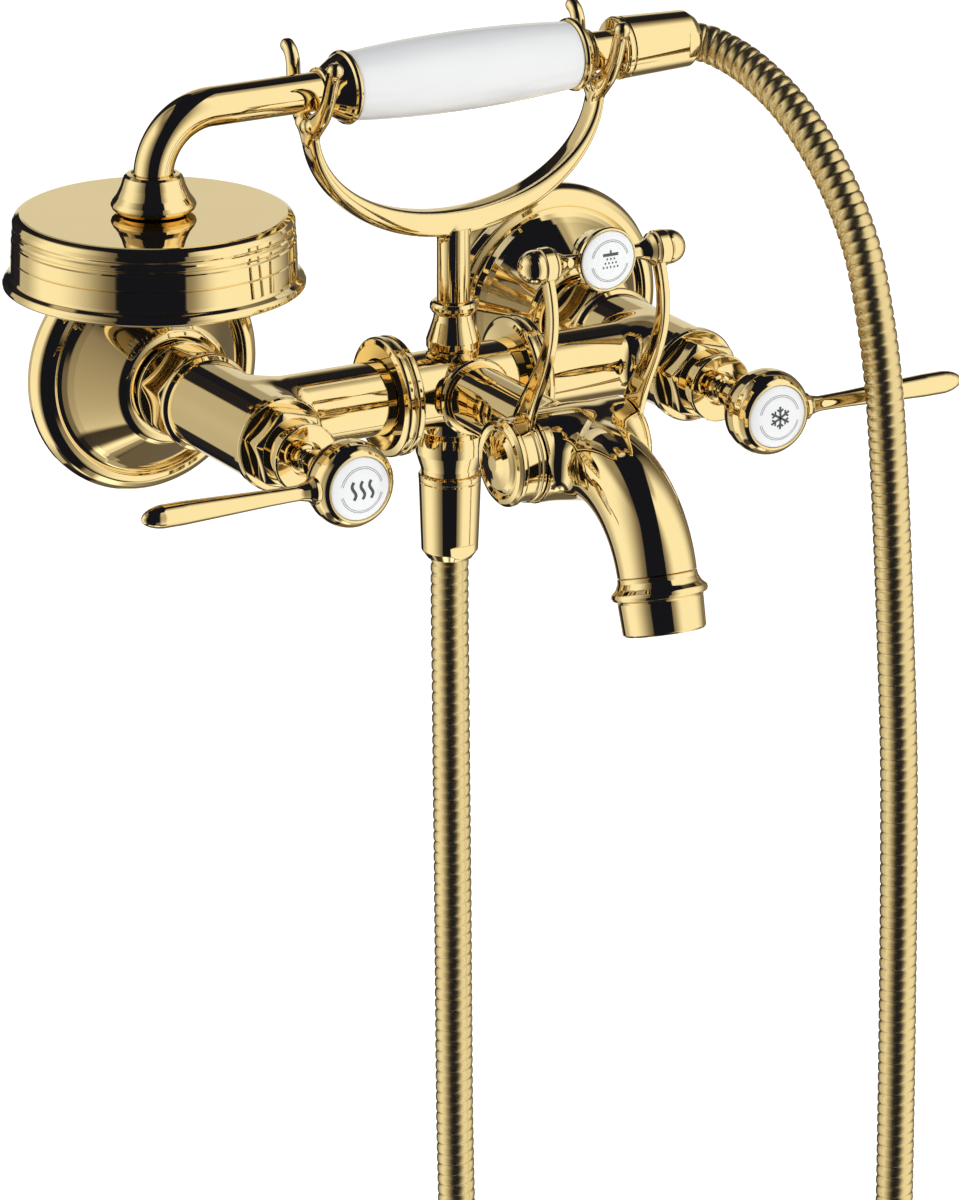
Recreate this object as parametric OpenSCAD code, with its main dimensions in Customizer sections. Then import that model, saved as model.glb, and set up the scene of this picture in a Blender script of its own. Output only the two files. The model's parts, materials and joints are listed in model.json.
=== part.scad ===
// Wall mounted bath and shower mixer with a cradle, a hand shower and a hose.
// X runs along the wall, Y points into the wall, Z is up.
// The origin is the midpoint between the two inlets on the wall plane.

/* [Mixer] */
// distance between the two wall inlets
inlet_cc = 150; // [146:1:156]
// distance of the cross tube's axis from the wall
body_out = 71.5; // [70:0.5:73]
// radius of the cross tube
tube_r = 11.9; // [11.5:0.1:12]
// radius of each valve body
valve_r = 14.3; // [14:0.1:14.6]
// radius of the wall escutcheons at the rim
rose_r = 40.5; // [38:0.5:44]
// distance of the diverter barrel's axis from the wall
barrel_out = 148; // [147:0.5:149]
// radius of the diverter barrel
barrel_r = 14.4; // [14.2:0.1:14.6]

/* [Handles] */
// radius of the round knobs at their widest
knob_r = 13.7; // [13:0.1:14]
// reach of each lever from the knob's axis to its tip
lever_reach = 72.2; // [60:0.2:80]
// radius of the lever near its tip
lever_tip_r = 3.6; // [3:0.1:4]

/* [Spout] */
// radius of the bend of the spout
spout_bend = 35.5; // [34:0.5:40]
// angle that the spout turns through
spout_turn = 74; // [68:1:80]
// outer radius of the spout
spout_r = 12.6; // [12.2:0.1:12.8]

/* [Hand shower] */
// height of the handset's axis over the inlets
handset_up = 104.5; // [104.5:0.5:106]
// outer radius of the curved tube between the handle and the head
arm_r = 6.2; // [6:0.05:6.2]
// greatest radius of the shower head's lip
head_r = 47; // [46:0.5:50]
// radius of the handle at its middle
grip_r = 12.6; // [11.6:0.1:13]

/* [Hose] */
// outer radius of the hose
hose_r = 6.1; // [5.5:0.1:6.1]

/* [Hidden] */
$fn = 72;
gap = 0.3;
hx = inlet_cc / 2;
barrel_up = 1.5;
knob_out = 140.4;
outlet_out = 69.5;
fork_x = 51.5;
hub_in = 17.4;
hub_out = 24.4;
hub_out_right = 20.2;
eye_out = 162.8;
eye_up = 67.3;
head_x = -106.4;
arm_bend = 20;
spout_from = barrel_out + 15.2;
gold = [0.93, 0.80, 0.47];
white = [0.93, 0.94, 0.94];
grey = [0.45, 0.45, 0.45];
// hose route from the lower nut, round the loop and up to the handset, as [x, distance from wall, z]
hose_route = [
  [0, 69.5, -56.2], [0, 69.6, -75], [0, 70.2, -95], [0, 71, -130], [0.3, 71.5, -170],
  [0.6, 71.8, -210], [1, 72, -250], [2, 72, -290], [2, 73, -330], [3, 74, -370],
  [4, 75, -410], [5, 77, -445], [9, 80, -475], [17, 86, -502], [29, 94, -522],
  [45, 104, -535], [62, 114, -539], [79, 125, -534], [94, 135, -520], [106, 143, -499],
  [115, 148, -470], [119, 151, -435], [120.6, 152, -400], [121, 153, -360], [121, 153, -320],
  [121, 153, -280], [120.8, 153, -240], [120.4, 153, -200], [119.8, 153, -160], [118.8, 153, -120],
  [116.6, 153, -80], [114.7, 153, -50], [112.5, 153, -20], [110.7, 152, 5], [109.6, 148, 27],
  [109.2, 139, 49.6], [107.4, 125, 69], [103.4, 108, 86], [98.6, 91, 96.4], [93, 78, 101.6],
  [86.8, 71.5, 103.6]
];

// revolves an outline of [radius, distance] points, the distance running away from the wall
module turn_y(x, z) {
  translate([x, 0, z]) rotate([90, 0, 0]) rotate_extrude() children();
}

// revolves an outline of [radius, distance] points, the distance running along X to the side s
module turn_x(s, y, z) {
  translate([0, y, z]) rotate([0, s * 90, 0]) rotate_extrude() children();
}

// revolves an outline of [radius, height] points about a vertical axis
module turn_z(x, y) {
  translate([x, y, 0]) rotate_extrude() children();
}

// a hexagonal prism with chamfered corners between two distances from the wall
module hex_y(x, flats, a, b, round_r) {
  translate([x, -a, 0]) rotate([90, 0, 0]) intersection() {
    rotate([0, 0, 15]) cylinder(r = flats / 2 / cos(30), h = b - a, $fn = 6);
    rotate_extrude() polygon([
      [0, 0], [round_r, 0], [round_r, b - a - 1.6], [round_r - 2.4, b - a], [0, b - a]
    ]);
  }
}

// a straight round hole along Y between two distances from the wall
module hole_y(x, z, r, a, b) {
  translate([x, -a, z]) rotate([90, 0, 0]) cylinder(r = r, h = b - a);
}

// ---------- wall connections ----------

module inlet_union(x) {
  color(gold) turn_y(x, 0) polygon([
    [6.5, -14], [9.9, -14], [10.4, -13.4], [10.4, 0], [11.4, 0.6], [11.4, 30.1],
    [12.2, 30.1], [12.2, 32.9], [6.5, 32.9]
  ]);
}

module escutcheon(x) {
  r = rose_r;
  color(gold) turn_y(x, 0) polygon([
    [r - 0.8, 0], [r, 1.2], [r, 2.4], [r - 0.7, 4.4], [r - 2.1, 6.2], [r - 4, 7.5], [r - 5.9, 8.2],
    [r - 6.6, 8.1], [r - 6.9, 7.5], [r - 8, 8.3], [31, 9.7], [29.5, 11.5], [20, 23.6], [18.4, 25],
    [16.6, 25.5], [15.2, 25.6],
    [11.9, 25.6], [11.9, 24], [15.2, 23.6], [22.6, 14.6], [r - 8.6, 6.2], [r - 3.6, 3.8],
    [r - 2.2, 1.6], [r - 2, 0]
  ]);
}

module union_nut(x) {
  color(gold) difference() {
    union() {
      hole_y(x, 0, 15.6, 27.2, 29.6);
      hex_y(x, 27.6, 29.6, 42.6, 15.7);
    }
    hole_y(x, 0, 11.5, 27, 30.1);
    hole_y(x, 0, 12.3, 30, 43);
  }
}

module inlet_washer(x) {
  color(grey) difference() {
    hole_y(x, 0, 12.2, 32.9, 34.9);
    hole_y(x, 0, 7, 32.8, 35);
  }
}

// ---------- mixer body ----------

module side_body(s) {
  x = s * hx;
  color(gold) difference() {
    union() {
      hole_y(x, 0, 12.2, 34.9, 43.4);
      hole_y(x, 0, 14.6, 43.4, 48);
      turn_y(x, 0) translate([13.9, 45]) circle(r = 1.9);
      hole_y(x, 0, valve_r, 48, 92);
      turn_x(s, -body_out, barrel_up) polygon([[0, 23.3], [tube_r, 23.3], [tube_r, hx], [0, hx]]);
    }
    hole_y(x, 0, 7, 34, 66);
    hole_y(x, 0, 10.2, 66, 93);
    turn_x(s, -body_out, barrel_up) polygon([[0, 23], [7.5, 23], [7.5, hx], [0, hx]]);
  }
}

module collar(s) {
  color(gold) turn_x(s, -body_out, barrel_up) difference() {
    union() {
      translate([12.6, 20.4]) square([4.6, 6.3]);
      translate([17.3, 21.9]) circle(r = 2);
      translate([17.3, 25.2]) circle(r = 2);
      translate([15, 21.5]) square([2.4, 4]);
    }
    translate([0, 19]) square([12.6, 4.3]);
    translate([0, 23.2]) square([12, 6]);
  }
}

module centre_body() {
  z = barrel_up;
  color(gold) difference() {
    union() {
      turn_x(1, -body_out, z) polygon([[0, -23.3], [12.5, -23.3], [12.5, 23.3], [0, 23.3]]);
      translate([0, -body_out, z]) cylinder(r = 8.2, h = 14.2 - z);
      translate([0, -outlet_out, -13.2]) cylinder(r = 10.2, h = 13.2 + z);
      hole_y(0, z, 11.4, body_out, 84.4);
      turn_y(0, z) polygon([[0, 83], [11.4, 83], [12.6, 84.8], [12.6, 86.4], [12, 87.1], [0, 87.1]]);
    }
    turn_x(1, -body_out, z) polygon([[0, -24], [7.5, -24], [7.5, 24], [0, 24]]);
    hole_y(0, z, 6.5, body_out, 88);
    translate([0, -outlet_out, -14]) cylinder(r = 5, h = 14);
    translate([0, -body_out, 9.5]) cylinder(r = 3.1, h = 6);
  }
}

module bonnet(s) {
  x = s * hx;
  color(gold) difference() {
    union() {
      hole_y(x, 0, 10.1, 68, 92);
      turn_y(x, 0) polygon([[0, 92], [14.9, 92], [15.3, 92.6], [15.3, 95.2], [14.7, 96], [0, 96]]);
      hex_y(x, 24, 96, 104, 13.6);
      turn_y(x, 0) polygon([
        [0, 104], [9.8, 104], [9.8, 109.4], [11, 110], [11, 111.6], [10.6, 112], [0, 112]
      ]);
    }
    hole_y(x, 0, 7.6, 67, 104);
    hole_y(x, 0, 4.4, 103, 110);
    hole_y(x, 0, 5.4, 109.6, 113);
  }
}

// fixed ceramic disc with two ports
module seat(s) {
  x = s * hx;
  color(white) difference() {
    hole_y(x, 0, 7.5, 68, 71);
    hole_y(x, 3.6, 2.2, 67, 72);
    hole_y(x, -3.6, 2.2, 67, 72);
  }
}

// turning ceramic disc with two ports
module disc(s) {
  x = s * hx;
  color(white) difference() {
    hole_y(x, 0, 7.3, 71.06, 74);
    hole_y(x, 3.6, 2.2, 71, 75);
    hole_y(x, -3.6, 2.2, 71, 75);
  }
}

module spindle(s) {
  x = s * hx;
  color(gold) turn_y(x, 0) polygon([
    [0, 74], [7.2, 74], [7.2, 77], [4.34, 77.6], [4.34, 111.4], [3.3, 111.8], [3.3, 113],
    [2.8, 113.4], [2.8, 114.2], [3.3, 114.6], [3.3, 115.4], [2.8, 115.8], [2.8, 116.6],
    [3.3, 117], [3.3, 117.8], [2.8, 118.2], [2.8, 119], [3.3, 119.4], [3.3, 135.4], [0, 135.4]
  ]);
}

// ---------- handles ----------

module knob(s) {
  x = s * hx;
  r = knob_r;
  color(gold) difference() {
    turn_y(x, 0) polygon([
      [0, 122], [4.6, 122], [5, 122.4], [5, 128], [6.2, 129], [9, 130.4], [11.6, 132.6],
      [r - 0.5, 135.6], [r, 138.4], [r, 140.8], [r - 0.4, 142.8], [r - 1.4, 144.6], [r - 2.6, 145.8],
      [r - 3.2, 146.1], [0, 146.1]
    ]);
    hole_y(x, 0, 3.36, 121, 135.5);
    hole_y(x, 0, 10.2, 143.8, 147);
    translate([x + s * 9.9, -knob_out, 0]) rotate([0, s * 90, 0]) cylinder(r = 2.5, h = 6);
  }
}

module lever(s) {
  x = s * hx;
  color(gold) translate([x, -knob_out, 0]) rotate([0, s * 90, 0]) union() {
    translate([0, 0, 10]) cylinder(r = 2.4, h = 3.9);
    translate([0, 0, 13.8]) cylinder(r1 = 4, r2 = 2.2, h = 3);
    translate([0, 0, 16.7]) cylinder(r1 = 2.2, r2 = lever_tip_r - 0.1, h = lever_reach - lever_tip_r - 16.7);
    translate([0, 0, lever_reach - lever_tip_r]) sphere(r = lever_tip_r);
  }
}

// domed porcelain disc in the front of a knob
module cap(s) {
  color(white) turn_y(s * hx, 0) polygon(concat(
    [[0, 143.8], [10.1, 143.8], [10.1, 145.6]],
    [for (i = [1:8]) [10.1 * cos(i * 11.25), 145.6 + 2 * sin(i * 11.25)]]
  ));
}

// ---------- cradle ----------

module cradle_base() {
  color(gold) turn_z(0, -body_out) polygon([
    [3.1, 14.2], [8.4, 14.2], [8.7, 15.4], [8.7, 17.2], [7.8, 19.8], [6.8, 22.8], [6.3, 26],
    [7, 26.6], [7.5, 27.6], [7.5, 28.8], [7, 29.6], [6, 30], [3.1, 30]
  ]);
}

module cradle_post() {
  color(gold) translate([0, -body_out, 0]) union() {
    translate([0, 0, 10]) cylinder(r = 3, h = 20.5);
    translate([0, 0, 30]) cylinder(r = 5.3, h = 21.5);
  }
}

// points along one quarter of an ellipse pair, from angle a to angle b
function arc_points(rx, rz, a, b, n) = [for (i = [0:n]) let (t = a + (b - a) * i / n) [rx * cos(t), 92.5 + rz * sin(t)]];

module cradle() {
  color(gold) union() {
    // the bow, thin at its ends and deep in the middle
    translate([0, -body_out + 4.4, 0]) rotate([90, 0, 0]) linear_extrude(height = 8.8)
      polygon(concat(arc_points(53.1, 41, 180, 360, 48), arc_points(49.9, 32.3, 360, 180, 48)));
    // the two forks, with the distance forward of the post as their first number
    for (s = [-1, 1]) translate([s * fork_x - 2.2, -body_out, 0]) mirror([0, 1, 0])
      rotate([90, 0, 90]) linear_extrude(height = 4.4) polygon(concat(
        [[-4.3, 90], [-6.6, 92.8], [-9.8, 96.6], [-12, 100.6], [-12.7, 104], [-12.6, 111.6], [-13.3, 113.6],
         [-15.2, 114.3], [-16.4, 115.8], [-16.2, 117.6], [-14.6, 118.6], [-12.6, 118.2], [-10.2, 116.8],
         [-8.8, 114.4], [-8.3, 111.5], [-8.4, 105], [-7.6, 102], [-5.6, 99.4], [-2.6, 98.2]],
        [[0, 97.95], [2.6, 98.2], [5.6, 99.2], [8.4, 101.4], [10.2, 104.6], [11.3, 108], [12.5, 111.6],
         [13.8, 114.4], [14, 116.6], [15.4, 117.9], [17.2, 118], [18.6, 116.8], [18.9, 115],
         [18, 112.4], [16.2, 108.6], [14.7, 103.8], [11.8, 98], [7.8, 93.2], [4.3, 90]]
      ));
  }
}

// ---------- hose outlet ----------

module outlet_bell() {
  color(gold) turn_z(0, -outlet_out) polygon([
    [5, -13.2], [10, -13.2], [10.6, -15.4], [11, -18.4], [11, -21], [10.4, -22.8], [9.8, -24.6],
    [9.4, -26], [9, -27.9], [5, -27.9]
  ]);
}

// conical nut on one end of the hose, its outline along its own axis
module nut_outline() {
  polygon([
    [5, 0], [9.7, 0], [10.1, 0.5], [10.1, 1.4], [9.1, 26], [7.2, 28.3], [5, 28.3]
  ]);
}

module outlet_nut() {
  color(gold) translate([0, -outlet_out, -27.9]) mirror([0, 0, 1]) rotate_extrude() nut_outline();
}

// ---------- diverter and spout ----------

module front_arm() {
  color(gold) difference() {
    hole_y(0, barrel_up, 10.8, 87.1, 132);
    hole_y(0, barrel_up, 6.5, 87, 133);
  }
}

module diverter_body() {
  color(gold) difference() {
    union() {
      turn_x(1, -barrel_out, barrel_up) polygon([
        [0, -hub_in], [barrel_r, -hub_in], [barrel_r, hub_in], [0, hub_in]
      ]);
      hole_y(0, barrel_up, 11.4, 132, barrel_out);
      hole_y(0, barrel_up, 13.2, barrel_out, spout_from);
    }
    turn_x(1, -barrel_out, barrel_up) polygon([[0, -18], [9.05, -18], [9.05, 18], [0, 18]]);
    hole_y(0, barrel_up, 6.5, 131, barrel_out);
    hole_y(0, barrel_up, 8.6, barrel_out, spout_from + 1);
  }
}

module spout() {
  color(gold) translate([0, -spout_from, barrel_up - spout_bend]) rotate([0, -90, 0])
    rotate_extrude(angle = -spout_turn, start = 0) translate([spout_bend, 0]) difference() {
      circle(r = spout_r);
      circle(r = 8.6);
    }
}

// places a shape at the mouth of the spout, its Z running the way the water leaves
module at_mouth() {
  translate([0, -spout_from - spout_bend * sin(spout_turn), barrel_up - spout_bend * (1 - cos(spout_turn))])
    rotate([90 + spout_turn, 0, 0]) children();
}

module aerator_housing() {
  color(gold) at_mouth() rotate_extrude() polygon([
    [8.6, 0], [12.3, 0], [12.6, 1.6], [13.4, 3.6], [14.5, 4.9], [14.9, 5.8], [14.7, 6.8], [13.8, 7.5],
    [13.3, 8], [13.3, 8.8], [12.9, 17.8], [12.4, 18.3], [11.2, 18.3], [11, 17.8], [11, 9.5], [8.6, 9.5]
  ]);
}

module aerator_insert() {
  color(grey) at_mouth() difference() {
    translate([0, 0, 9.5]) cylinder(r = 10.9, h = 6.5);
    for (i = [0:5]) rotate([0, 0, i * 60]) translate([4.2, 0, 9]) cylinder(r = 1.1, h = 8);
    for (i = [0:11]) rotate([0, 0, i * 30 + 15]) translate([7.8, 0, 9]) cylinder(r = 1.1, h = 8);
    translate([0, 0, 9]) cylinder(r = 1.1, h = 8);
  }
}

module diverter_spindle() {
  color(gold) difference() {
    turn_x(1, -barrel_out, barrel_up) polygon([
      [0, -28], [3.9, -28], [3.9, -16], [8.98, -16], [8.98, 16], [3.9, 16], [3.9, 21], [0, 21]
    ]);
    hole_y(0, barrel_up, 5.6, barrel_out - 12, barrel_out + 12);
  }
}

module yoke_hub_left() {
  color(gold) turn_x(-1, -barrel_out, barrel_up) polygon([
    [4, hub_in + 0.4], [13.4, hub_in + 0.4], [13.8, hub_in + 0.9], [13.8, hub_in + 1.6],
    [13.3, hub_in + 2], [13.3, hub_out], [4, hub_out]
  ]);
}

// the far hub is thin and nearly flat
module yoke_hub_right() {
  color(gold) turn_x(1, -barrel_out, barrel_up) polygon([
    [4, hub_in + 0.4], [13, hub_in + 0.4], [13.5, hub_in + 0.8], [13.5, hub_out_right - 1],
    [12.8, hub_out_right - 0.2], [12, hub_out_right], [4, hub_out_right]
  ]);
}

module end_cap_left() {
  color(gold) turn_x(-1, -barrel_out, barrel_up) polygon([
    [4, hub_out], [13.4, hub_out], [14.1, hub_out + 0.8], [14.1, hub_out + 1.9], [13.2, hub_out + 2.9],
    [11.6, hub_out + 3.3], [10, hub_out + 2.7], [9.6, hub_out + 3.2], [8, hub_out + 4.2],
    [5, hub_out + 5], [0, hub_out + 5.4], [0, 28.1], [4, 28.1]
  ]);
}

// low screw cap that closes the far end
module end_cap_right() {
  color(gold) turn_x(1, -barrel_out, barrel_up) polygon([
    [4, hub_out_right], [8.2, hub_out_right], [8.2, hub_out_right + 0.8], [6.6, hub_out_right + 1.5],
    [0, hub_out_right + 1.9], [0, 21.1], [4, 21.1]
  ]);
}

// half width of the yoke arm, wide at its root
function arm_half(t) = 2.5 + 3.6 * pow(1 - t, 3);
// centre line of the yoke arm as [distance forward of the barrel's axis, height]
function arm_line(t) = let (u = 1 - t)
  u * u * u * [1, 8] + 3 * u * u * t * [8, 30] + 3 * u * t * t * [29, 40] + t * t * t * [eye_out - 148, eye_up - 1.5];
function arm_side(t, s) = let (
  d = arm_line(min(1, t + 0.01)) - arm_line(max(0, t - 0.01)),
  n = [-d[1], d[0]] / norm(d)
) arm_line(t) + s * arm_half(t) * n;

module yoke_arm(s, x) {
  color(gold) difference() {
    union() {
      translate([s * x - 1.4, -barrel_out, barrel_up]) mirror([0, 1, 0]) rotate([90, 0, 90])
        linear_extrude(height = 2.8) polygon(concat(
          [for (i = [0:20]) arm_side(i / 20, 1)],
          [for (i = [20:-1:0]) arm_side(i / 20, -1)]
        ));
      translate([s * 20.3 - 2.1, -eye_out, eye_up]) rotate([0, 90, 0]) cylinder(r = 5.7, h = 4.2);
    }
    translate([-30, -barrel_out, barrel_up]) rotate([0, 90, 0]) cylinder(r = s < 0 ? 13.82 : 13.52, h = 60);
    translate([-30, -eye_out, eye_up]) rotate([0, 90, 0]) cylinder(r = 2.3, h = 60);
    turn_x(s, -eye_out, eye_up) polygon([[0, 10], [5.5, 10], [5.5, 18.2], [0, 18.2]]);
  }
}

module crossbar() {
  color(gold) turn_x(1, -eye_out, eye_up) polygon([
    [0, -26], [2.2, -26], [2.2, -18.2], [5.3, -18.2], [5.1, -17.2], [3.4, -15.6], [2.2, -13],
    [2.1, -8], [2.1, 8], [2.2, 13], [3.4, 15.6], [5.1, 17.2], [5.3, 18.2], [2.2, 18.2], [2.2, 26], [0, 26]
  ]);
}

// round nuts that close the ends of the crossbar
module finials() {
  color(gold) for (s = [-1, 1]) turn_x(s, -eye_out, eye_up) polygon(concat(
    [[2.3, 22.4], [5.26, 22.4]],
    [for (i = [0:10]) [5.4 * cos(i * 9), 23.6 + 5.4 * sin(i * 9)]],
    [[0, 26.1], [2.3, 26.1]]
  ));
}

module yoke_boss() {
  color(gold) difference() {
    turn_y(0, eye_up) polygon([
      [0, 154.6], [5, 154.8], [6.8, 156], [7.8, 158], [8, 160], [8.6, 162.4], [9.8, 164.4],
      [10.1, 165.6], [10, 166.4], [9.5, 166.8], [0, 166.8]
    ]);
    hole_y(0, eye_up, 9.2, 165.4, 168);
    translate([-12, -eye_out, eye_up]) rotate([0, 90, 0]) cylinder(r = 2.3, h = 24);
  }
}

module yoke_cap() {
  color(white) turn_y(0, eye_up) polygon(concat(
    [[0, 165.4], [9.1, 165.4], [9.1, 166.6]],
    [for (i = [1:8]) [9.1 * cos(i * 11.25), 166.6 + 1.6 * sin(i * 11.25)]]
  ));
}

// ---------- hand shower ----------

module head_shell() {
  r = head_r;
  color(gold) turn_z(head_x, -body_out) polygon([
    [0, 73.6], [r - 6, 73.6], [r - 4.4, 73], [r - 3.4, 71.8], [r - 3.2, 70.4], [r - 3.7, 69], [r - 3.4, 68.4],
    [r - 3, 67.4], [r - 3.4, 66.2], [r - 3, 65.6], [r - 2.8, 61.4], [r - 3.1, 61], [r - 2.7, 60.4],
    [r - 2.4, 54.6], [r - 1.4, 53.4], [r - 0.2, 52.6], [r, 51.6], [r - 0.4, 50.6], [r - 1.4, 50.1],
    [r - 3.4, 50.1], [r - 4.4, 51.4], [r - 4.6, 54], [r - 5.4, 54], [r - 5.8, 70], [r - 8, 71.4],
    [5.2, 71.4], [5.2, 72], [0, 72]
  ]);
}

module spray_plate() {
  color(gold) turn_z(head_x, -body_out) polygon([
    [0, 51.8], [head_r - 4.8, 51.8], [head_r - 4.8, 53.9], [0, 53.9]
  ]);
}

module spray_nozzles() {
  color(grey) for (k = [1:4]) for (i = [0:k * 8 - 1])
    translate([head_x + k * 9.2 * cos(i * 45 / k), -body_out + k * 9.2 * sin(i * 45 / k), 50.4])
      cylinder(r = 1.1, h = 1.4, $fn = 16);
}

module head_collar() {
  color(gold) turn_z(head_x, -body_out) polygon([
    [6.3, 73.6], [10.6, 73.6], [11.8, 74.4], [12.9, 75.4], [13.3, 76.3], [12.9, 77.2], [11.6, 78.8],
    [10.4, 81], [9.6, 83.4], [9.2, 84.8], [8.4, 85.6], [7.2, 86], [6.3, 86]
  ]);
}

module arm_tube() {
  color(gold) difference() {
    union() {
      translate([head_x, -body_out, 73.6]) cylinder(r = arm_r, h = handset_up - arm_bend - 73.6);
      translate([head_x + arm_bend, -body_out, handset_up - arm_bend]) rotate([90, 0, 0])
        rotate_extrude(angle = 90, start = 90) translate([arm_bend, 0]) circle(r = arm_r);
      translate([head_x + arm_bend, -body_out, handset_up]) rotate([0, 90, 0])
        cylinder(r = arm_r, h = -43 - head_x - arm_bend);
    }
    translate([head_x, -body_out, 73]) cylinder(r = 4.6, h = handset_up - arm_bend - 73);
    translate([head_x + arm_bend, -body_out, handset_up - arm_bend]) rotate([90, 0, 0])
      rotate_extrude(angle = 90, start = 90) translate([arm_bend, 0]) circle(r = 4.6);
    translate([head_x + arm_bend, -body_out, handset_up]) rotate([0, 90, 0])
      cylinder(r = 4.6, h = -42 - head_x - arm_bend);
  }
}

// bell shaped metal ferrule, its outline along X away from the middle of the handle
module ferrule_outline(a, b) {
  l = b - a;
  polygon([
    [6.3, a], [10.9, a], [11.4, a + 0.4], [11.8, a + 1.2], [11.5, a + 2], [10.6, a + 2.6], [10.2, a + 3],
    [9.4, a + 0.45 * l], [8.2, a + 0.62 * l], [7.1, a + 0.78 * l], [6.8, a + 0.84 * l], [7.4, a + 0.89 * l],
    [7.4, a + 0.96 * l], [6.9, b], [6.3, b]
  ]);
}

module ferrule_front() {
  color(gold) turn_x(-1, -body_out, handset_up) ferrule_outline(38.2, 49);
}

module ferrule_rear() {
  color(gold) turn_x(1, -body_out, handset_up) ferrule_outline(41.6, 49);
}

// porcelain handle, barrel shaped, with a hole for the water tube
module grip() {
  color(white) turn_x(1, -body_out, handset_up) polygon(concat(
    [[4.6, -38.2]],
    [for (i = [0:24]) let (t = -1 + i / 12) [grip_r - 1.9 * t * t, 1.65 + t * 39.85]],
    [[4.6, 41.5]]
  ));
}

// tube from the handle to the hose nut
module connector() {
  color(gold) turn_x(1, -body_out, handset_up) polygon([
    [3, -42.8], [4.5, -42.8], [4.5, 41.7], [6.25, 41.7], [6.25, 57.6], [9.4, 57.8], [9.4, 58.5],
    [4.6, 58.5], [4.6, 66], [3, 66]
  ]);
}

module handset_nut() {
  color(gold) turn_x(1, -body_out, handset_up) translate([0, 58.5]) nut_outline();
}

// ---------- hose ----------

function smooth_point(p, i, t) = let (
  a = p[max(0, i - 1)], b = p[i], c = p[i + 1], d = p[min(len(p) - 1, i + 2)]
) 0.5 * (2 * b + (c - a) * t + (2 * a - 5 * b + 4 * c - d) * t * t + (3 * b - a - 3 * c + d) * t * t * t);

module hose() {
  pts = [for (p = hose_route) [p[0], -p[1], p[2]]];
  n = len(pts);
  sides = 12;
  dirs = [for (i = [0:n - 1])
    i == 0 ? [0, 0, -1] : i == n - 1 ? [-1, 0, 0] : (pts[i + 1] - pts[i - 1]) / norm(pts[i + 1] - pts[i - 1])];
  // a side direction that never lines up with the hose
  sidev = [for (d = dirs) let (c = cross([0.5, 0.86, 0], d)) c / norm(c)];
  upv = [for (i = [0:n - 1]) cross(dirs[i], sidev[i])];
  verts = [for (i = [0:n - 1]) for (k = [0:sides - 1])
    pts[i] + hose_r * (cos(k * 360 / sides) * sidev[i] + sin(k * 360 / sides) * upv[i])];
  faces = concat(
    [[for (k = [0:sides - 1]) k]],
    [for (i = [0:n - 2]) for (k = [0:sides - 1])
      [i * sides + k, (i + 1) * sides + k, (i + 1) * sides + (k + 1) % sides, i * sides + (k + 1) % sides]],
    [[for (k = [sides - 1:-1:0]) (n - 1) * sides + k]]
  );
  color(gold) polyhedron(points = verts, faces = faces, convexity = 8);
}

inlet_union(-hx);  // inlet_union_left
inlet_union(hx);  // inlet_union_right
escutcheon(-hx);  // escutcheon_left
escutcheon(hx);  // escutcheon_right
union_nut(-hx);  // union_nut_left
union_nut(hx);  // union_nut_right
inlet_washer(-hx);  // inlet_washer_left
inlet_washer(hx);  // inlet_washer_right
side_body(-1);  // side_body_left
side_body(1);  // side_body_right
collar(-1);  // collar_left
collar(1);  // collar_right
centre_body();
bonnet(-1);  // bonnet_left
bonnet(1);  // bonnet_right
seat(-1);  // seat_left
seat(1);  // seat_right
spindle(-1);  // spindle_left
spindle(1);  // spindle_right
disc(-1);  // disc_left
disc(1);  // disc_right
knob(-1);  // knob_left
knob(1);  // knob_right
lever(-1);  // lever_left
lever(1);  // lever_right
cap(-1);  // cap_left
cap(1);  // cap_right
cradle_base();
cradle_post();
cradle();
outlet_bell();
outlet_nut();
front_arm();
diverter_body();
spout();
aerator_housing();
aerator_insert();
diverter_spindle();
yoke_hub_left();
yoke_hub_right();
end_cap_left();
end_cap_right();
yoke_arm(-1, 20.3);  // yoke_arm_left
yoke_arm(1, 19.2);  // yoke_arm_right
crossbar();
finials();
yoke_boss();
yoke_cap();
head_shell();
spray_plate();
spray_nozzles();
head_collar();
arm_tube();
ferrule_front();
grip();
ferrule_rear();
connector();
handset_nut();
hose();
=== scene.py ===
"""Looks for the wall mounted bath and shower mixer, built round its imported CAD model, in metres."""

import json
import math

import bpy
import numpy as np
from mathutils import Matrix, Vector


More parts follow.
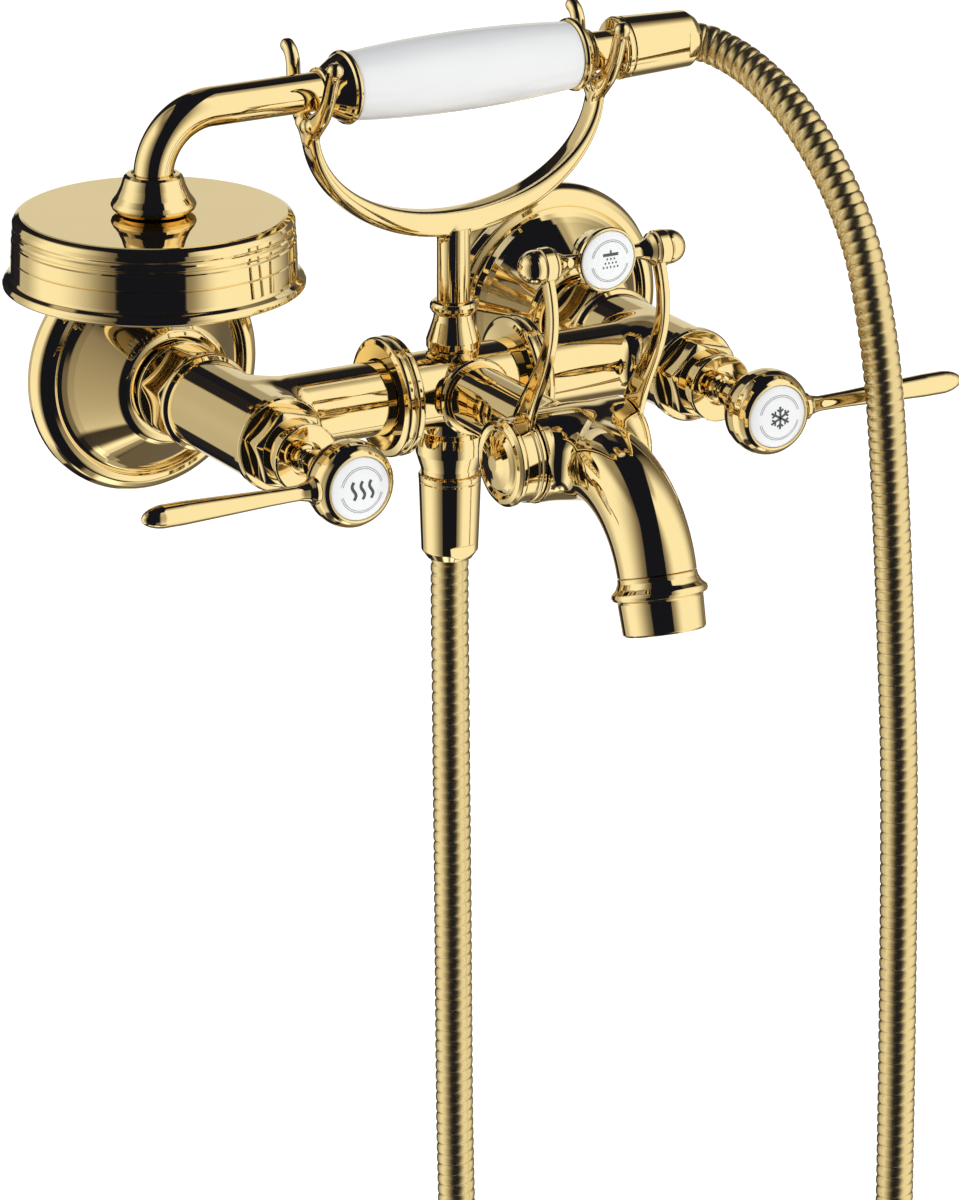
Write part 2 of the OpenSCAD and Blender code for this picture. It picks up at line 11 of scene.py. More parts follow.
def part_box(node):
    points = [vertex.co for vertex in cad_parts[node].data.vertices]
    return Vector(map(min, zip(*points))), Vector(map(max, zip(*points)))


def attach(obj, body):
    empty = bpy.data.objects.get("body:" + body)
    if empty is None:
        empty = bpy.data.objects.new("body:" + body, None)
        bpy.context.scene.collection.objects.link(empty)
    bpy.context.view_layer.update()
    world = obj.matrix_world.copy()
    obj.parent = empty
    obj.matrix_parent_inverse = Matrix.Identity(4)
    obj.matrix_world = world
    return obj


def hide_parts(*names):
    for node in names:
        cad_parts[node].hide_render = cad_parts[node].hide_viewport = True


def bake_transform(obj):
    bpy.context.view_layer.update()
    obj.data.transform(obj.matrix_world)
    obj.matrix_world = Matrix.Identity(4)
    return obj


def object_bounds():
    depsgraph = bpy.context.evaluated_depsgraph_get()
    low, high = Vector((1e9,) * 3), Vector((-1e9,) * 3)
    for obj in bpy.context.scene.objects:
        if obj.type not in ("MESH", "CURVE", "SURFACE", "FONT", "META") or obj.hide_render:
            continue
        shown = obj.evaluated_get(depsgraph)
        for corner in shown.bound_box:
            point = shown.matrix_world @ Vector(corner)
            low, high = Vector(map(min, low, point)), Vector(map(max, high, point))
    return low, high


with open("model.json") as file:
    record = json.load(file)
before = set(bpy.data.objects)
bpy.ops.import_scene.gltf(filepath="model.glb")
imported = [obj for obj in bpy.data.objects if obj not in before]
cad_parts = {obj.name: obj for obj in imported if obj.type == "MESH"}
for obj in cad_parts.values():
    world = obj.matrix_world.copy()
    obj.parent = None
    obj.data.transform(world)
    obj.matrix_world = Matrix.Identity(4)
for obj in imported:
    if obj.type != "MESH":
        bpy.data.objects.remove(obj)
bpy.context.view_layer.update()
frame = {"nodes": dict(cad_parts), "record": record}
MM = 0.001
RIGHT, LEFT = (1, 0, 0), (-1, 0, 0)
OUT, BACK = (0, -1, 0), (0, 1, 0)       # away from the wall, and towards it
UP, DOWN = (0, 0, 1), (0, 0, -1)
CENTRE_HALF = 23.3              # half the middle body's length, mm
VALVE_R, TUBE_R = 14.3, 11.9    # valve bodies and cross tube
BARREL_R, ARM_R, SPOUT_R = 14.4, 10.8, 12.85
SPOUT_BEND = 35.5               # radius of the spout's middle line, mm
SPOUT_TURN = 74                 # degrees
CASTING_FILLET = 6.0            # where two pipes of a casting meet, mm
FILLET = 0.22                   # edge radius of a turned part where its outline gives none
NO_CORNER = 0.02                # radians, below which an outline's corner stays as it is
ARC_STEP = math.radians(9)      # along a rounded corner
EDGE_POWER = 70                 # how crisp a hexagon's edges are
HALVINGS = 26                   # of the search for a cast surface
BONNET_AT = 92.0                # from the wall to the headworks, mm
HUB_IN = 17.8                   # from the middle to the yoke's hubs, mm
HOSE_STEP = 0.42                # along the hose, mm
HOSE_PITCH = 3.65               # of its winding, mm
HOSE_RADIUS = 6.15
HOSE_GROOVE = 0.62


# ---------- places, all read from the CAD model, in millimetres ----------

def vec(x, y, z):
    return np.array([x, y, z])


def low(node):
    """The lowest corner of a CAD node's box at rest."""
    return np.array(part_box(node)[0]) / MM


def high(node):
    """The highest corner of a CAD node's box at rest."""
    return np.array(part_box(node)[1]) / MM


def mid(node):
    return (low(node) + high(node)) / 2


MOUNTS = {m["name"]: m for m in frame["record"]["mounts"]}
HX = MOUNTS["inlet_right"]["pos_m"][0] / MM
BODY_Y = mid("cradle_post")[1]
TUBE_Z = mid("collar_left")[2]
BARREL_Y = mid("yoke_hub_left")[1]
BARREL_Z = mid("yoke_hub_left")[2]
EYE = mid("crossbar")
HAND = mid("grip")


# ---------- meshes ----------

class Shape:
    """Collects vertices, faces and smooth normals, in millimetres, and makes one object of them."""

    def __init__(self):
        self.v, self.f, self.n = [], [], []
        self.count = 0

    def add(self, v, f, n=None):
        v = np.asarray(v, float)
        if n is None:
            n = smooth_normals(v, f)
        self.f += [tuple(i + self.count for i in q) for q in f]
        self.v.append(v)
        self.n.append(n)
        self.count += len(v)

    def make(self, name, material):
        v = np.concatenate(self.v) * MM
        n = np.concatenate(self.n)
        me = bpy.data.meshes.new(name)
        me.from_pydata(v.tolist(), [], self.f)
        me.materials.append(material)
        me.polygons.foreach_set("use_smooth", [True] * len(me.polygons))
        me.normals_split_custom_set_from_vertices(n.tolist())
        ob = bpy.data.objects.new(name, me)
        bpy.context.scene.collection.objects.link(ob)
        return ob


def smooth_normals(v, f):
    """Area weighted vertex normals of a mesh of triangles and quads."""
    n = np.zeros_like(v)
    for size in (3, 4):
        q = np.array([p for p in f if len(p) == size], int).reshape(-1, size)
        if not len(q):
            continue
        if size == 3:
            fn = np.cross(v[q[:, 1]] - v[q[:, 0]], v[q[:, 2]] - v[q[:, 0]])
        else:
            fn = np.cross(v[q[:, 2]] - v[q[:, 0]], v[q[:, 3]] - v[q[:, 1]])
        for k in range(size):
            np.add.at(n, q[:, k], fn)
    return n / np.maximum(np.linalg.norm(n, axis=1), 1e-12)[:, None]


def rounded(points):
    """Rounds the corners of an outline of (radius, distance[, fillet]) points, and gives its normals too."""
    pts = [(p[0], p[1], p[2] if len(p) > 2 else FILLET) for p in points]
    out, nor = [], []
    count = len(pts)

    def side(a, b):
        d = b - a
        d = d / max(np.linalg.norm(d), 1e-9)
        return np.array([d[1], -d[0]])

    for i, (r, d, f) in enumerate(pts):
        p = np.array([r, d])
        if i in (0, count - 1):
            q = np.array(pts[1][:2]) if i == 0 else np.array(pts[-2][:2])
            out.append(p)
            nor.append(side(p, q) if i == 0 else side(q, p))
            continue
        a = np.array(pts[i - 1][:2])
        b = np.array(pts[i + 1][:2])
        u, w = a - p, b - p
        lu, lw = np.linalg.norm(u), np.linalg.norm(w)
        u, w = u / lu, w / lw
        turn = math.pi - math.acos(max(-1, min(1, float(u @ w))))
        if turn < NO_CORNER:
            out.append(p)
            nor.append(side(a, b))
            continue
        t = min(f * math.tan(turn / 2), 0.49 * lu, 0.49 * lw)
        rad = t / math.tan(turn / 2)
        bis = (u + w) / np.linalg.norm(u + w)
        c = p + bis * rad / math.cos(turn / 2)
        v0, v1 = p + u * t - c, p + w * t - c
        steps = max(2, int(math.ceil(turn / ARC_STEP)))
        sign = 1 if side(a, p) @ v0 > 0 else -1
        for k in range(steps + 1):
            s = k / steps
            e = (math.sin((1 - s) * turn) * v0 + math.sin(s * turn) * v1) / math.sin(turn)
            out.append(c + e)
            nor.append(sign * e / np.linalg.norm(e))
    return np.array(out), np.array(nor)


def basis(axis):
    """Two directions square to the axis, and the axis."""
    z = np.asarray(axis, float)
    z = z / np.linalg.norm(z)
    x = vec(1.0, 0, 0) if abs(z[0]) < 0.9 else vec(0, 1.0, 0)
    x = x - z * (x @ z)
    x = x / np.linalg.norm(x)
    return x, np.cross(z, x), z


def angles(seg):
    """Even angles round a full turn."""
    return np.linspace(0, 2 * math.pi, seg, endpoint=False)


def ring_about(axis, seg=96, spin=0.0):
    """Unit circle square to an axis."""
    x, y, _ = basis(axis)
    th = angles(seg) + spin
    return np.cos(th)[:, None] * x + np.sin(th)[:, None] * y


def turned(shape, origin, axis, points, seg=112):
    """Adds a turned solid: an outline of (radius, distance along the axis) points about an axis."""
    prof, nor = rounded(points)
    z = basis(axis)[2]
    ring = ring_about(axis, seg)
    v, n, rows = [], [], []
    for (r, d), (nr, nd) in zip(prof, nor):
        if r < 1e-4:
            rows.append([len(v)] * seg)
            v.append(origin + z * d)
            n.append(z * (1 if nd > 0 else -1))
            continue
        rows.append(list(range(len(v), len(v) + seg)))
        v += list(origin + r * ring + z * d)
        n += list(nr * ring + nd * z)
    f = []
    for a, b in zip(rows[:-1], rows[1:]):
        for k in range(seg):
            m = (k + 1) % seg
            quad = [a[k], a[m], b[m], b[k]]
            face = [i for j, i in enumerate(quad) if i not in quad[:j]]
            if len(face) > 2:
                f.append(tuple(face))
    shape.add(np.array(v), f, np.array(n))


def surface(shape, origin, axis, dists, radius, seg=240, caps=True, spin=0.0):
    """Adds a solid whose radius changes round the axis too: radius(angles, distance)."""
    z = basis(axis)[2]
    th = angles(seg)
    ring = ring_about(axis, seg, spin)
    rows = [origin + radius(th, d)[:, None] * ring + z * d for d in dists]
    shape.add(np.concatenate(rows), tube_faces(len(rows), seg))
    if caps:
        cap(shape, rows[0][::-1], -z)
        cap(shape, rows[-1], z)


def tube_faces(rows, seg):
    """Faces between successive closed rings."""
    return [(i * seg + k, i * seg + (k + 1) % seg, (i + 1) * seg + (k + 1) % seg, (i + 1) * seg + k)
            for i in range(rows - 1) for k in range(seg)]


def cap(shape, ring, normal):
    """Closes a ring with a flat fan."""
    v = np.concatenate([ring, [ring.mean(0)]])
    n = len(ring)
    shape.add(v, [(n, k, (k + 1) % n) for k in range(n)], np.tile(normal, (n + 1, 1)))


def off_line(p, at, axis):
    """Distance of each point from a line."""
    q = p - at
    axis = np.asarray(axis, float)
    return np.linalg.norm(q - (q @ axis)[:, None] * axis, axis=1)


def straight(a, b):
    """Points from a to b every 0.45 mm."""
    n = max(6, int(np.linalg.norm(np.subtract(b, a)) / 0.45))
    return np.linspace(0, 1, n)[:, None] * np.subtract(b, a) + np.asarray(a, float)


def cast(shape, parts, grids, seg=200):
    """Adds pipes that run into each other with a fillet, as in one casting.

    parts are signed distance functions, and grids (path, side, radius, reach) say which pipes are drawn.
    """
    def field(p):
        total = parts[0](p)
        for part in parts[1:]:
            d = part(p)
            h = np.clip(0.5 + 0.5 * (d - total) / CASTING_FILLET, 0, 1)
            total = d * (1 - h) + total * h - CASTING_FILLET * h * (1 - h)
        return total

    th = angles(seg)
    for path, side, r, reach in grids:
        _, u, w = frames(path, side)
        ray = np.cos(th)[None, :, None] * u[:, None] + np.sin(th)[None, :, None] * w[:, None]
        lo = np.full(ray.shape[:2], r - 1.2)
        hi = np.full(ray.shape[:2], r + reach)
        for _ in range(HALVINGS):
            m = (lo + hi) / 2
            inside = field((path[:, None] + ray * m[..., None]).reshape(-1, 3)).reshape(m.shape) < 0
            lo, hi = np.where(inside, m, lo), np.where(inside, hi, m)
        v = (path[:, None] + ray * lo[..., None]).reshape(-1, 3)
        n = np.stack([field(v + e) - field(v - e) for e in np.eye(3) * 0.02], 1)
        n /= np.maximum(np.linalg.norm(n, axis=1), 1e-9)[:, None]
        buried = (lo > r + reach - 0.01).reshape(-1)
        shape.add(v, [q for q in tube_faces(len(path), seg) if not all(buried[k] for k in q)], n)


def hexagon(shape, origin, axis, flats, length, round_r, both=False, spin=math.radians(15)):
    """Adds a hexagonal prism with turned chamfers at its far end, or at both ends."""
    def radius(th, d):
        a = [np.maximum(np.cos(th - k * math.pi / 3), 0) / (flats / 2) for k in range(6)]
        hexa = sum(q ** EDGE_POWER for q in a) ** (-1 / EDGE_POWER)
        lim = round_r - max(0, d - (length - 1.5)) * 1.55
        if both:
            lim = min(lim, round_r - max(0, 1.2 - d) * 1.3)
        return (hexa ** -24 + lim ** -24.0) ** (-1 / 24)

    def trimmed(th, d):
        return radius(th, d) - (0.1 if d > length - 0.02 else 0)

    near = [0, 0.3, 0.6, 0.9, 1.2]
    far = [length - d for d in (1.8, 1.6, 1.45, 1.3, 1.1, 0.9, 0.7, 0.5, 0.3, 0.12, 0.03)]
    surface(shape, origin, axis, near + far + [length], trimmed, spin=spin)


def smooth_path(points, step):
    """A smooth curve through the points, resampled at an even step."""
    p = np.asarray(points, float)
    p = np.concatenate([[2 * p[0] - p[1]], p, [2 * p[-1] - p[-2]]])
    fine = []
    for i in range(1, len(p) - 2):
        a, b, c, d = p[i - 1], p[i], p[i + 1], p[i + 2]
        t = np.linspace(0, 1, 40, endpoint=False)[:, None]
        fine.append(0.5 * (2 * b + (c - a) * t + (2 * a - 5 * b + 4 * c - d) * t ** 2
                           + (3 * b - a - 3 * c + d) * t ** 3))
    fine = np.concatenate(fine + [p[-2][None]])
    s = np.concatenate([[0], np.cumsum(np.linalg.norm(np.diff(fine, axis=0), axis=1))])
    n = max(2, int(round(s[-1] / step)) + 1)
    q = np.linspace(0, s[-1], n)
    return np.stack([np.interp(q, s, fine[:, k]) for k in range(3)], 1)


def frames(path, side):
    """Directions along a path and square to it, carried along without twist."""
    t = np.gradient(path, axis=0)
    t /= np.linalg.norm(t, axis=1)[:, None]
    a = np.asarray(side, float)
    us, ws = [], []
    for d in t:
        a = a - d * (a @ d)
        a = a / np.linalg.norm(a)
        us.append(a)
        ws.append(np.cross(d, a))
    return t, np.array(us), np.array(ws)


def swept(shape, path, side, section, seg=48):
    """Adds a solid swept along a path. section(i, angles) gives offsets along the two side directions."""
    t, u, w = frames(path, side)
    th = angles(seg)
    rows = []
    for i in range(len(path)):
        a, b = section(i, th)
        rows.append(path[i] + a[:, None] * u[i] + b[:, None] * w[i])
    shape.add(np.concatenate(rows), tube_faces(len(rows), seg))
    cap(shape, rows[0][::-1], -t[0])
    cap(shape, rows[-1], t[-1])


def place(ob, body, slot, *nodes):
    """Rides a piece on its body and hides the CAD nodes that it stands for. The slot is not used."""
    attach(ob, body)
    if nodes:
        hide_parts(*nodes)
    return ob


def gold(shape, node, body, kind="_brass"):
    """Makes a shape into a polished gold piece that stands for one CAD node."""
    return place(shape.make(node + kind, GOLD), body, "polished_gold", node)


def gold_turned(node, body, at, axis, points, seg=112):
    """Makes a gold piece of one turned outline."""
    s = Shape()
    turned(s, at, axis, points, seg)
    return gold(s, node, body)


# ---------- materials ----------

def new_material(name):
    """A material, its node tree and its shader."""
    m = bpy.data.materials.new(name)
    m.use_nodes = True
    nt = m.node_tree
    return m, nt, nt.nodes["Principled BSDF"]


def noise(nt, scale, detail=3.0, rough=0.5):
    """Noise fixed to the object, in metres."""
    tc = nt.nodes.new("ShaderNodeTexCoord")
    n = nt.nodes.new("ShaderNodeTexNoise")
    n.inputs["Scale"].default_value = scale
    n.inputs["Detail"].default_value = detail
    n.inputs["Roughness"].default_value = rough
    nt.links.new(tc.outputs["Object"], n.inputs["Vector"])
    return n.outputs["Fac"]


def ranged(nt, value, lo, hi, a=0.3, b=0.7):
    """A value brought from the range a to b into the range lo to hi."""
    r = nt.nodes.new("ShaderNodeMapRange")
    r.inputs["From Min"].default_value = a
    r.inputs["From Max"].default_value = b
    r.inputs["To Min"].default_value = lo
    r.inputs["To Max"].default_value = hi
    nt.links.new(value, r.inputs["Value"])
    return r.outputs["Result"]


def mixed(nt, value, c0, c1):
    """A colour between c0 and c1."""
    mx = nt.nodes.new("ShaderNodeMix")
    mx.data_type = "RGBA"
    mx.inputs["A"].default_value = (*c0, 1)
    mx.inputs["B"].default_value = (*c1, 1)
    nt.links.new(value, mx.inputs["Factor"])
    return mx.outputs["Result"]


def toned(nt, p, value, c0, c1):
    """Gives a shader a base colour that wanders from c0 to c1."""
    nt.links.new(mixed(nt, ranged(nt, value, 0, 1), c0, c1), p.inputs["Base Color"])


def bumped(nt, p, height, strength, distance):
    b = nt.nodes.new("ShaderNodeBump")
    b.inputs["Strength"].default_value = strength
    b.inputs["Distance"].default_value = distance
    nt.links.new(height, b.inputs["Height"])
    nt.links.new(b.outputs["Normal"], p.inputs["Normal"])


def metal(name, c0, c1, r0, r1, bump):
    """Polished plated metal: faint changes of tone and gloss, and very fine polishing marks."""
    m, nt, p = new_material(name)
    p.inputs["Metallic"].default_value = 1.0
    toned(nt, p, noise(nt, 38.0), c0, c1)
    fine = noise(nt, 900.0, 4.0, 0.6)
    nt.links.new(ranged(nt, fine, r0, r1), p.inputs["Roughness"])
    bumped(nt, p, fine, bump, 0.00002)
    return m


def glazed(name, c0, c1, rough, coat):
    """White glazed ware: a clear glaze over a slightly uneven white body."""
    m, nt, p = new_material(name)
    big = noise(nt, 60.0)
    toned(nt, p, big, c0, c1)
    fine = noise(nt, 500.0)
    nt.links.new(ranged(nt, fine, rough * 0.8, rough * 1.25), p.inputs["Roughness"])
    p.inputs["Coat Weight"].default_value = coat
    p.inputs["Coat Roughness"].default_value = 0.03
    p.inputs["Specular IOR Level"].default_value = 0.5
    bumped(nt, p, big, 0.06, 0.0001)
    return m


def matte(name, c0, c1, rough, scale=300.0):
    """Rubber, plastic and ink: a fine mottled surface."""
    m, nt, p = new_material(name)
    n = noise(nt, scale)
    toned(nt, p, n, c0, c1)
    nt.links.new(ranged(nt, n, rough * 0.85, min(1, rough * 1.15)), p.inputs["Roughness"])
    bumped(nt, p, n, 0.2, 0.00005)
    return m


GOLD = metal("polished_gold", (0.89, 0.71, 0.385), (0.91, 0.725, 0.395), 0.03, 0.05, 0.012)
HOSE = metal("hose_gold", (0.78, 0.615, 0.32), (0.81, 0.64, 0.34), 0.25, 0.31, 0.02)
WHITE = glazed("porcelain", (0.76, 0.765, 0.77), (0.78, 0.785, 0.79), 0.12, 0.35)
CERAMIC = glazed("valve_ceramic", (0.72, 0.71, 0.67), (0.78, 0.77, 0.73), 0.35, 0.0)
RUBBER = matte("black_rubber", (0.02, 0.02, 0.02), (0.035, 0.035, 0.035), 0.7)
NOZZLE = matte("nozzle_rubber", (0.16, 0.16, 0.16), (0.22, 0.22, 0.22), 0.6)
PLASTIC = matte("aerator_plastic", (0.10, 0.10, 0.105), (0.14, 0.14, 0.145), 0.45)
INK = matte("ink", (0.05, 0.055, 0.065), (0.07, 0.075, 0.085), 0.4, 900.0)
FAINT = matte("faint_ink", (0.12, 0.125, 0.13), (0.15, 0.155, 0.16), 0.4, 900.0)


# ---------- camera, light and floor ----------

def build_camera():
    """The photograph's viewing angle."""
    data = bpy.data.cameras.new("camera")
    data.sensor_width = 36.0
    data.lens = 227.438
    data.clip_start, data.clip_end = 0.05, 60.0
    cam = bpy.data.objects.new("camera", data)
    right = Vector((0.86740153, -0.4975961, 0.00356486))
    up = Vector((0.15830476, 0.28273194, 0.94604559))
    back = Vector((-0.4717565, -0.82003705, 0.32401395))
    cam.matrix_world = Matrix((
        (right[0], up[0], back[0], -1.1401257),
        (right[1], up[1], back[1], -2.0706294),
        (right[2], up[2], back[2], 0.7176006),
        (0, 0, 0, 1)))
    bpy.context.scene.collection.objects.link(cam)
    bpy.context.scene.camera = cam


class Sums:
    """Short names for the world's math nodes."""

    def __init__(self, nt):
        self.nt = nt

    def op(self, kind, a, b=0.0):
        n = self.nt.nodes.new("ShaderNodeMath")
        n.operation = kind
        for k, x in enumerate((a, b)):
            if isinstance(x, (int, float)):
                n.inputs[k].default_value = x
            else:
                self.nt.links.new(x, n.inputs[k])
        return n.outputs[0]

    def step(self, v, a, b, lo=0.0, hi=1.0):
        n = self.nt.nodes.new("ShaderNodeMapRange")
        n.interpolation_type = "SMOOTHSTEP"
        n.inputs["From Min"].default_value = a
        n.inputs["From Max"].default_value = b
        n.inputs["To Min"].default_value = lo
        n.inputs["To Max"].default_value = hi
        self.nt.links.new(v, n.inputs["Value"])
        return n.outputs["Result"]

    def band(self, v, a, b, soft):
        below = self.step(v, b - soft, b + soft, 1.0, 0.0)
        return self.op("MULTIPLY", self.step(v, a - soft, a + soft), below)

    def patch(self, az, el, a0, a1, e0, e1, sa, se):
        return self.op("MULTIPLY", self.band(az, a0, a1, sa), self.band(el, e0, e1, se))

    def dim(self, v, patch, keep):
        """v times keep where patch is 1."""
        return self.op("MULTIPLY", v, self.op("SUBTRACT", 1.0, self.op("MULTIPLY", patch, 1.0 - keep)))


def build_world():
    """A studio of two big soft boxes with a dark gap between them, as polished metal shows it.

    az is the direction's angle about the vertical, 0 straight out from the wall and growing to the right,
    and el its height, both in degrees. Only glossy rays see it: the rest is plain and neutral.
    """
    w = bpy.data.worlds.new("studio")
    bpy.context.scene.world = w
    w.use_nodes = True
    nt = w.node_tree
    nt.nodes.clear()
    s = Sums(nt)
    tc = nt.nodes.new("ShaderNodeTexCoord")
    sep = nt.nodes.new("ShaderNodeSeparateXYZ")
    nt.links.new(tc.outputs["Generated"], sep.inputs[0])
    x, y, z = sep.outputs[0], sep.outputs[1], sep.outputs[2]
    deg = 180 / math.pi
    az = s.op("MULTIPLY", s.op("ARCTAN2", x, s.op("MULTIPLY", y, -1.0)), deg)
    el = s.op("MULTIPLY", s.op("ARCSINE", s.op("MINIMUM", s.op("MAXIMUM", z, -1.0), 1.0)), deg)
    # the right box, brightest from 28 to 70 degrees and fading to both sides
    right = s.op("MULTIPLY", s.step(az, -3.5, -1.0), s.step(az, -2, 27, 0.24, 1.0))
    right = s.op("MULTIPLY", right, s.step(az, 70, 116, 1.0, 0.13))
    # the left box, brightest from -128 to -108 degrees
    left = s.op("MULTIPLY", s.step(az, -60, -56.5, 1.0, 0.0), s.step(az, -112, -54, 1.0, 0.12))
    left = s.op("MULTIPLY", left, s.step(az, -152, -126, 0.52, 1.0))
    level = s.op("ADD", right, left)
    back = s.op("MULTIPLY", s.patch(az, el, 141, 166, -36, 38, 2, 3), s.step(el, 17.0, 20.8, 0.56, 0.26))
    level = s.op("ADD", level, back)
    # dark fields behind, above and below
    level = s.dim(level, s.op("MAXIMUM", s.step(az, 164.5, 167), s.step(az, -164, -161.5, 1.0, 0.0)), 0.02)
    level = s.dim(level, s.patch(az, el, 116, 149, 23, 60, 4, 3), 0.05)
    # the gap at -28.5 degrees runs on over the top as a strip of even width, and down the far side
    gap_x, gap_y = 0.477, 0.879
    side = s.op("SUBTRACT", s.op("MULTIPLY", x, gap_y), s.op("MULTIPLY", y, gap_x))
    ahead = s.op("ADD", s.op("MULTIPLY", x, gap_x), s.op("MULTIPLY", y, gap_y))
    front = s.op("MULTIPLY", s.step(ahead, -0.05, 0.05, 1.0, 0.0), s.step(el, -19, -9))
    strip = s.op("MULTIPLY", s.band(side, -0.405, 0.405, 0.012), s.op("MAXIMUM", front, s.step(el, 54, 58)))
    level = s.dim(level, strip, 0.0)
    level = s.dim(level, s.patch(az, el, -157, -30, 44, 95, 6, 9), 0.3)
    level = s.dim(level, s.patch(az, el, 40, 164, 58, 95, 10, 4), 0.45)
    level = s.dim(level, s.patch(az, el, -162, 60, -76, -60, 8, 3), 0.06)
    level = s.op("ADD", level, s.op("MULTIPLY", s.band(el, -95, -76, 2), 0.3))
    level = s.op("ADD", s.op("MULTIPLY", level, 1.09), 0.008)
    bg = nt.nodes.new("ShaderNodeBackground")
    nt.links.new(level, bg.inputs["Strength"])
    tint = nt.nodes.new("ShaderNodeCombineColor")
    tint.inputs[0].default_value = 1.0
    nt.links.new(s.op("MULTIPLY", s.op("POWER", level, 0.08), 0.985), tint.inputs[1])
    nt.links.new(s.op("MULTIPLY", s.op("POWER", level, 0.22), 0.85), tint.inputs[2])
    nt.links.new(tint.outputs[0], bg.inputs["Color"])
    blue = nt.nodes.new("ShaderNodeBackground")
    blue.inputs["Color"].default_value = (0.02, 0.25, 1.0, 1)
    blue.inputs["Strength"].default_value = 0.02
    both = nt.nodes.new("ShaderNodeAddShader")
    nt.links.new(bg.outputs[0], both.inputs[0])
    nt.links.new(blue.outputs[0], both.inputs[1])
    soft = nt.nodes.new("ShaderNodeBackground")
    soft.inputs["Color"].default_value = (0.97, 0.985, 1.0, 1)
    soft.inputs["Strength"].default_value = 0.45
    seen = nt.nodes.new("ShaderNodeBackground")
    seen.inputs["Color"].default_value = (1, 1, 1, 1)
    lp = nt.nodes.new("ShaderNodeLightPath")
    mx = nt.nodes.new("ShaderNodeMixShader")
    lit = nt.nodes.new("ShaderNodeMixShader")
    out = nt.nodes.new("ShaderNodeOutputWorld")
    nt.links.new(lp.outputs["Is Glossy Ray"], lit.inputs[0])
    nt.links.new(soft.outputs[0], lit.inputs[1])
    nt.links.new(both.outputs[0], lit.inputs[2])
    nt.links.new(lp.outputs["Is Camera Ray"], mx.inputs[0])
    nt.links.new(lit.outputs[0], mx.inputs[1])
    nt.links.new(seen.outputs[0], mx.inputs[2])
    nt.links.new(mx.outputs[0], out.inputs[0])


def soft_light(name, at, size, power):
    """A square light aimed at the mixer. Polished metal doesn't show it."""
    data = bpy.data.lights.new(name, "AREA")
    data.shape = "SQUARE"
    data.size = size
    data.energy = power
    ob = bpy.data.objects.new(name, data)
    ob.location = at
    ob.rotation_mode = "QUATERNION"
    ob.rotation_quaternion = (Vector((0, -0.07, 0)) - Vector(at)).to_track_quat("-Z", "Y")
    ob.visible_glossy = False
    bpy.context.scene.collection.objects.link(ob)


def build_floor():
    """A plain pale floor a little below the hose."""
    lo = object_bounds()[0]
    z = lo[2] - 0.03
    rings, seg = [0.0, 0.5, 1.5, 4.0, 9.0, 16.0], 64
    v, f = [(0.0, 0.0, z)], []
    turn = [2 * math.pi * k / seg for k in range(seg)]
    for r in rings[1:]:
        v += [(r * math.cos(a), r * math.sin(a), z) for a in turn]
    f += [(0, 1 + k, 1 + (k + 1) % seg) for k in range(seg)]
    for i in range(len(rings) - 2):
        a, b = 1 + i * seg, 1 + (i + 1) * seg
        f += [(a + k, b + k, b + (k + 1) % seg, a + (k + 1) % seg) for k in range(seg)]
    me = bpy.data.meshes.new("floor")
    me.from_pydata(v, [], f)
    m, nt, p = new_material("floor_paint")
    toned(nt, p, noise(nt, 3.0), (0.93, 0.93, 0.93), (0.95, 0.95, 0.95))
    p.inputs["Roughness"].default_value = 0.9
    p.inputs["Emission Color"].default_value = (1, 1, 1, 1)
    p.inputs["Emission Strength"].default_value = 0.65
    me.materials.append(m)
    ob = bpy.data.objects.new("floor", me)
    bpy.context.scene.collection.objects.link(ob)
    ob.visible_glossy = False


# ---------- hose ----------

# the route of part.scad: right of the middle, out from the wall and up, in millimetres
HOSE_ROUTE = [
    (0, 69.5, -56.2), (0, 69.6, -75), (0, 70.2, -95), (0, 71, -130), (0.3, 71.5, -170),
    (0.6, 71.8, -210), (1, 72, -250), (2, 72, -290), (2, 73, -330), (3, 74, -370),
    (4, 75, -410), (5, 77, -445), (9, 80, -475), (17, 86, -502), (29, 94, -522),
    (45, 104, -535), (62, 114, -539), (79, 125, -534), (94, 135, -520), (106, 143, -499),
    (115, 148, -470), (119, 151, -435), (120.6, 152, -400), (121, 153, -360), (121, 153, -320),
    (121, 153, -280), (120.8, 153, -240), (120.4, 153, -200), (119.8, 153, -160), (118.8, 153, -120),
    (116.6, 153, -80), (114.7, 153, -50), (112.5, 153, -20), (110.7, 152, 5), (109.6, 148, 27),
    (109.2, 139, 49.6), (107.4, 125, 69), (103.4, 108, 86), (98.6, 91, 96.4), (93, 78, 101.6),
    (86.8, 71.5, 103.6),
]


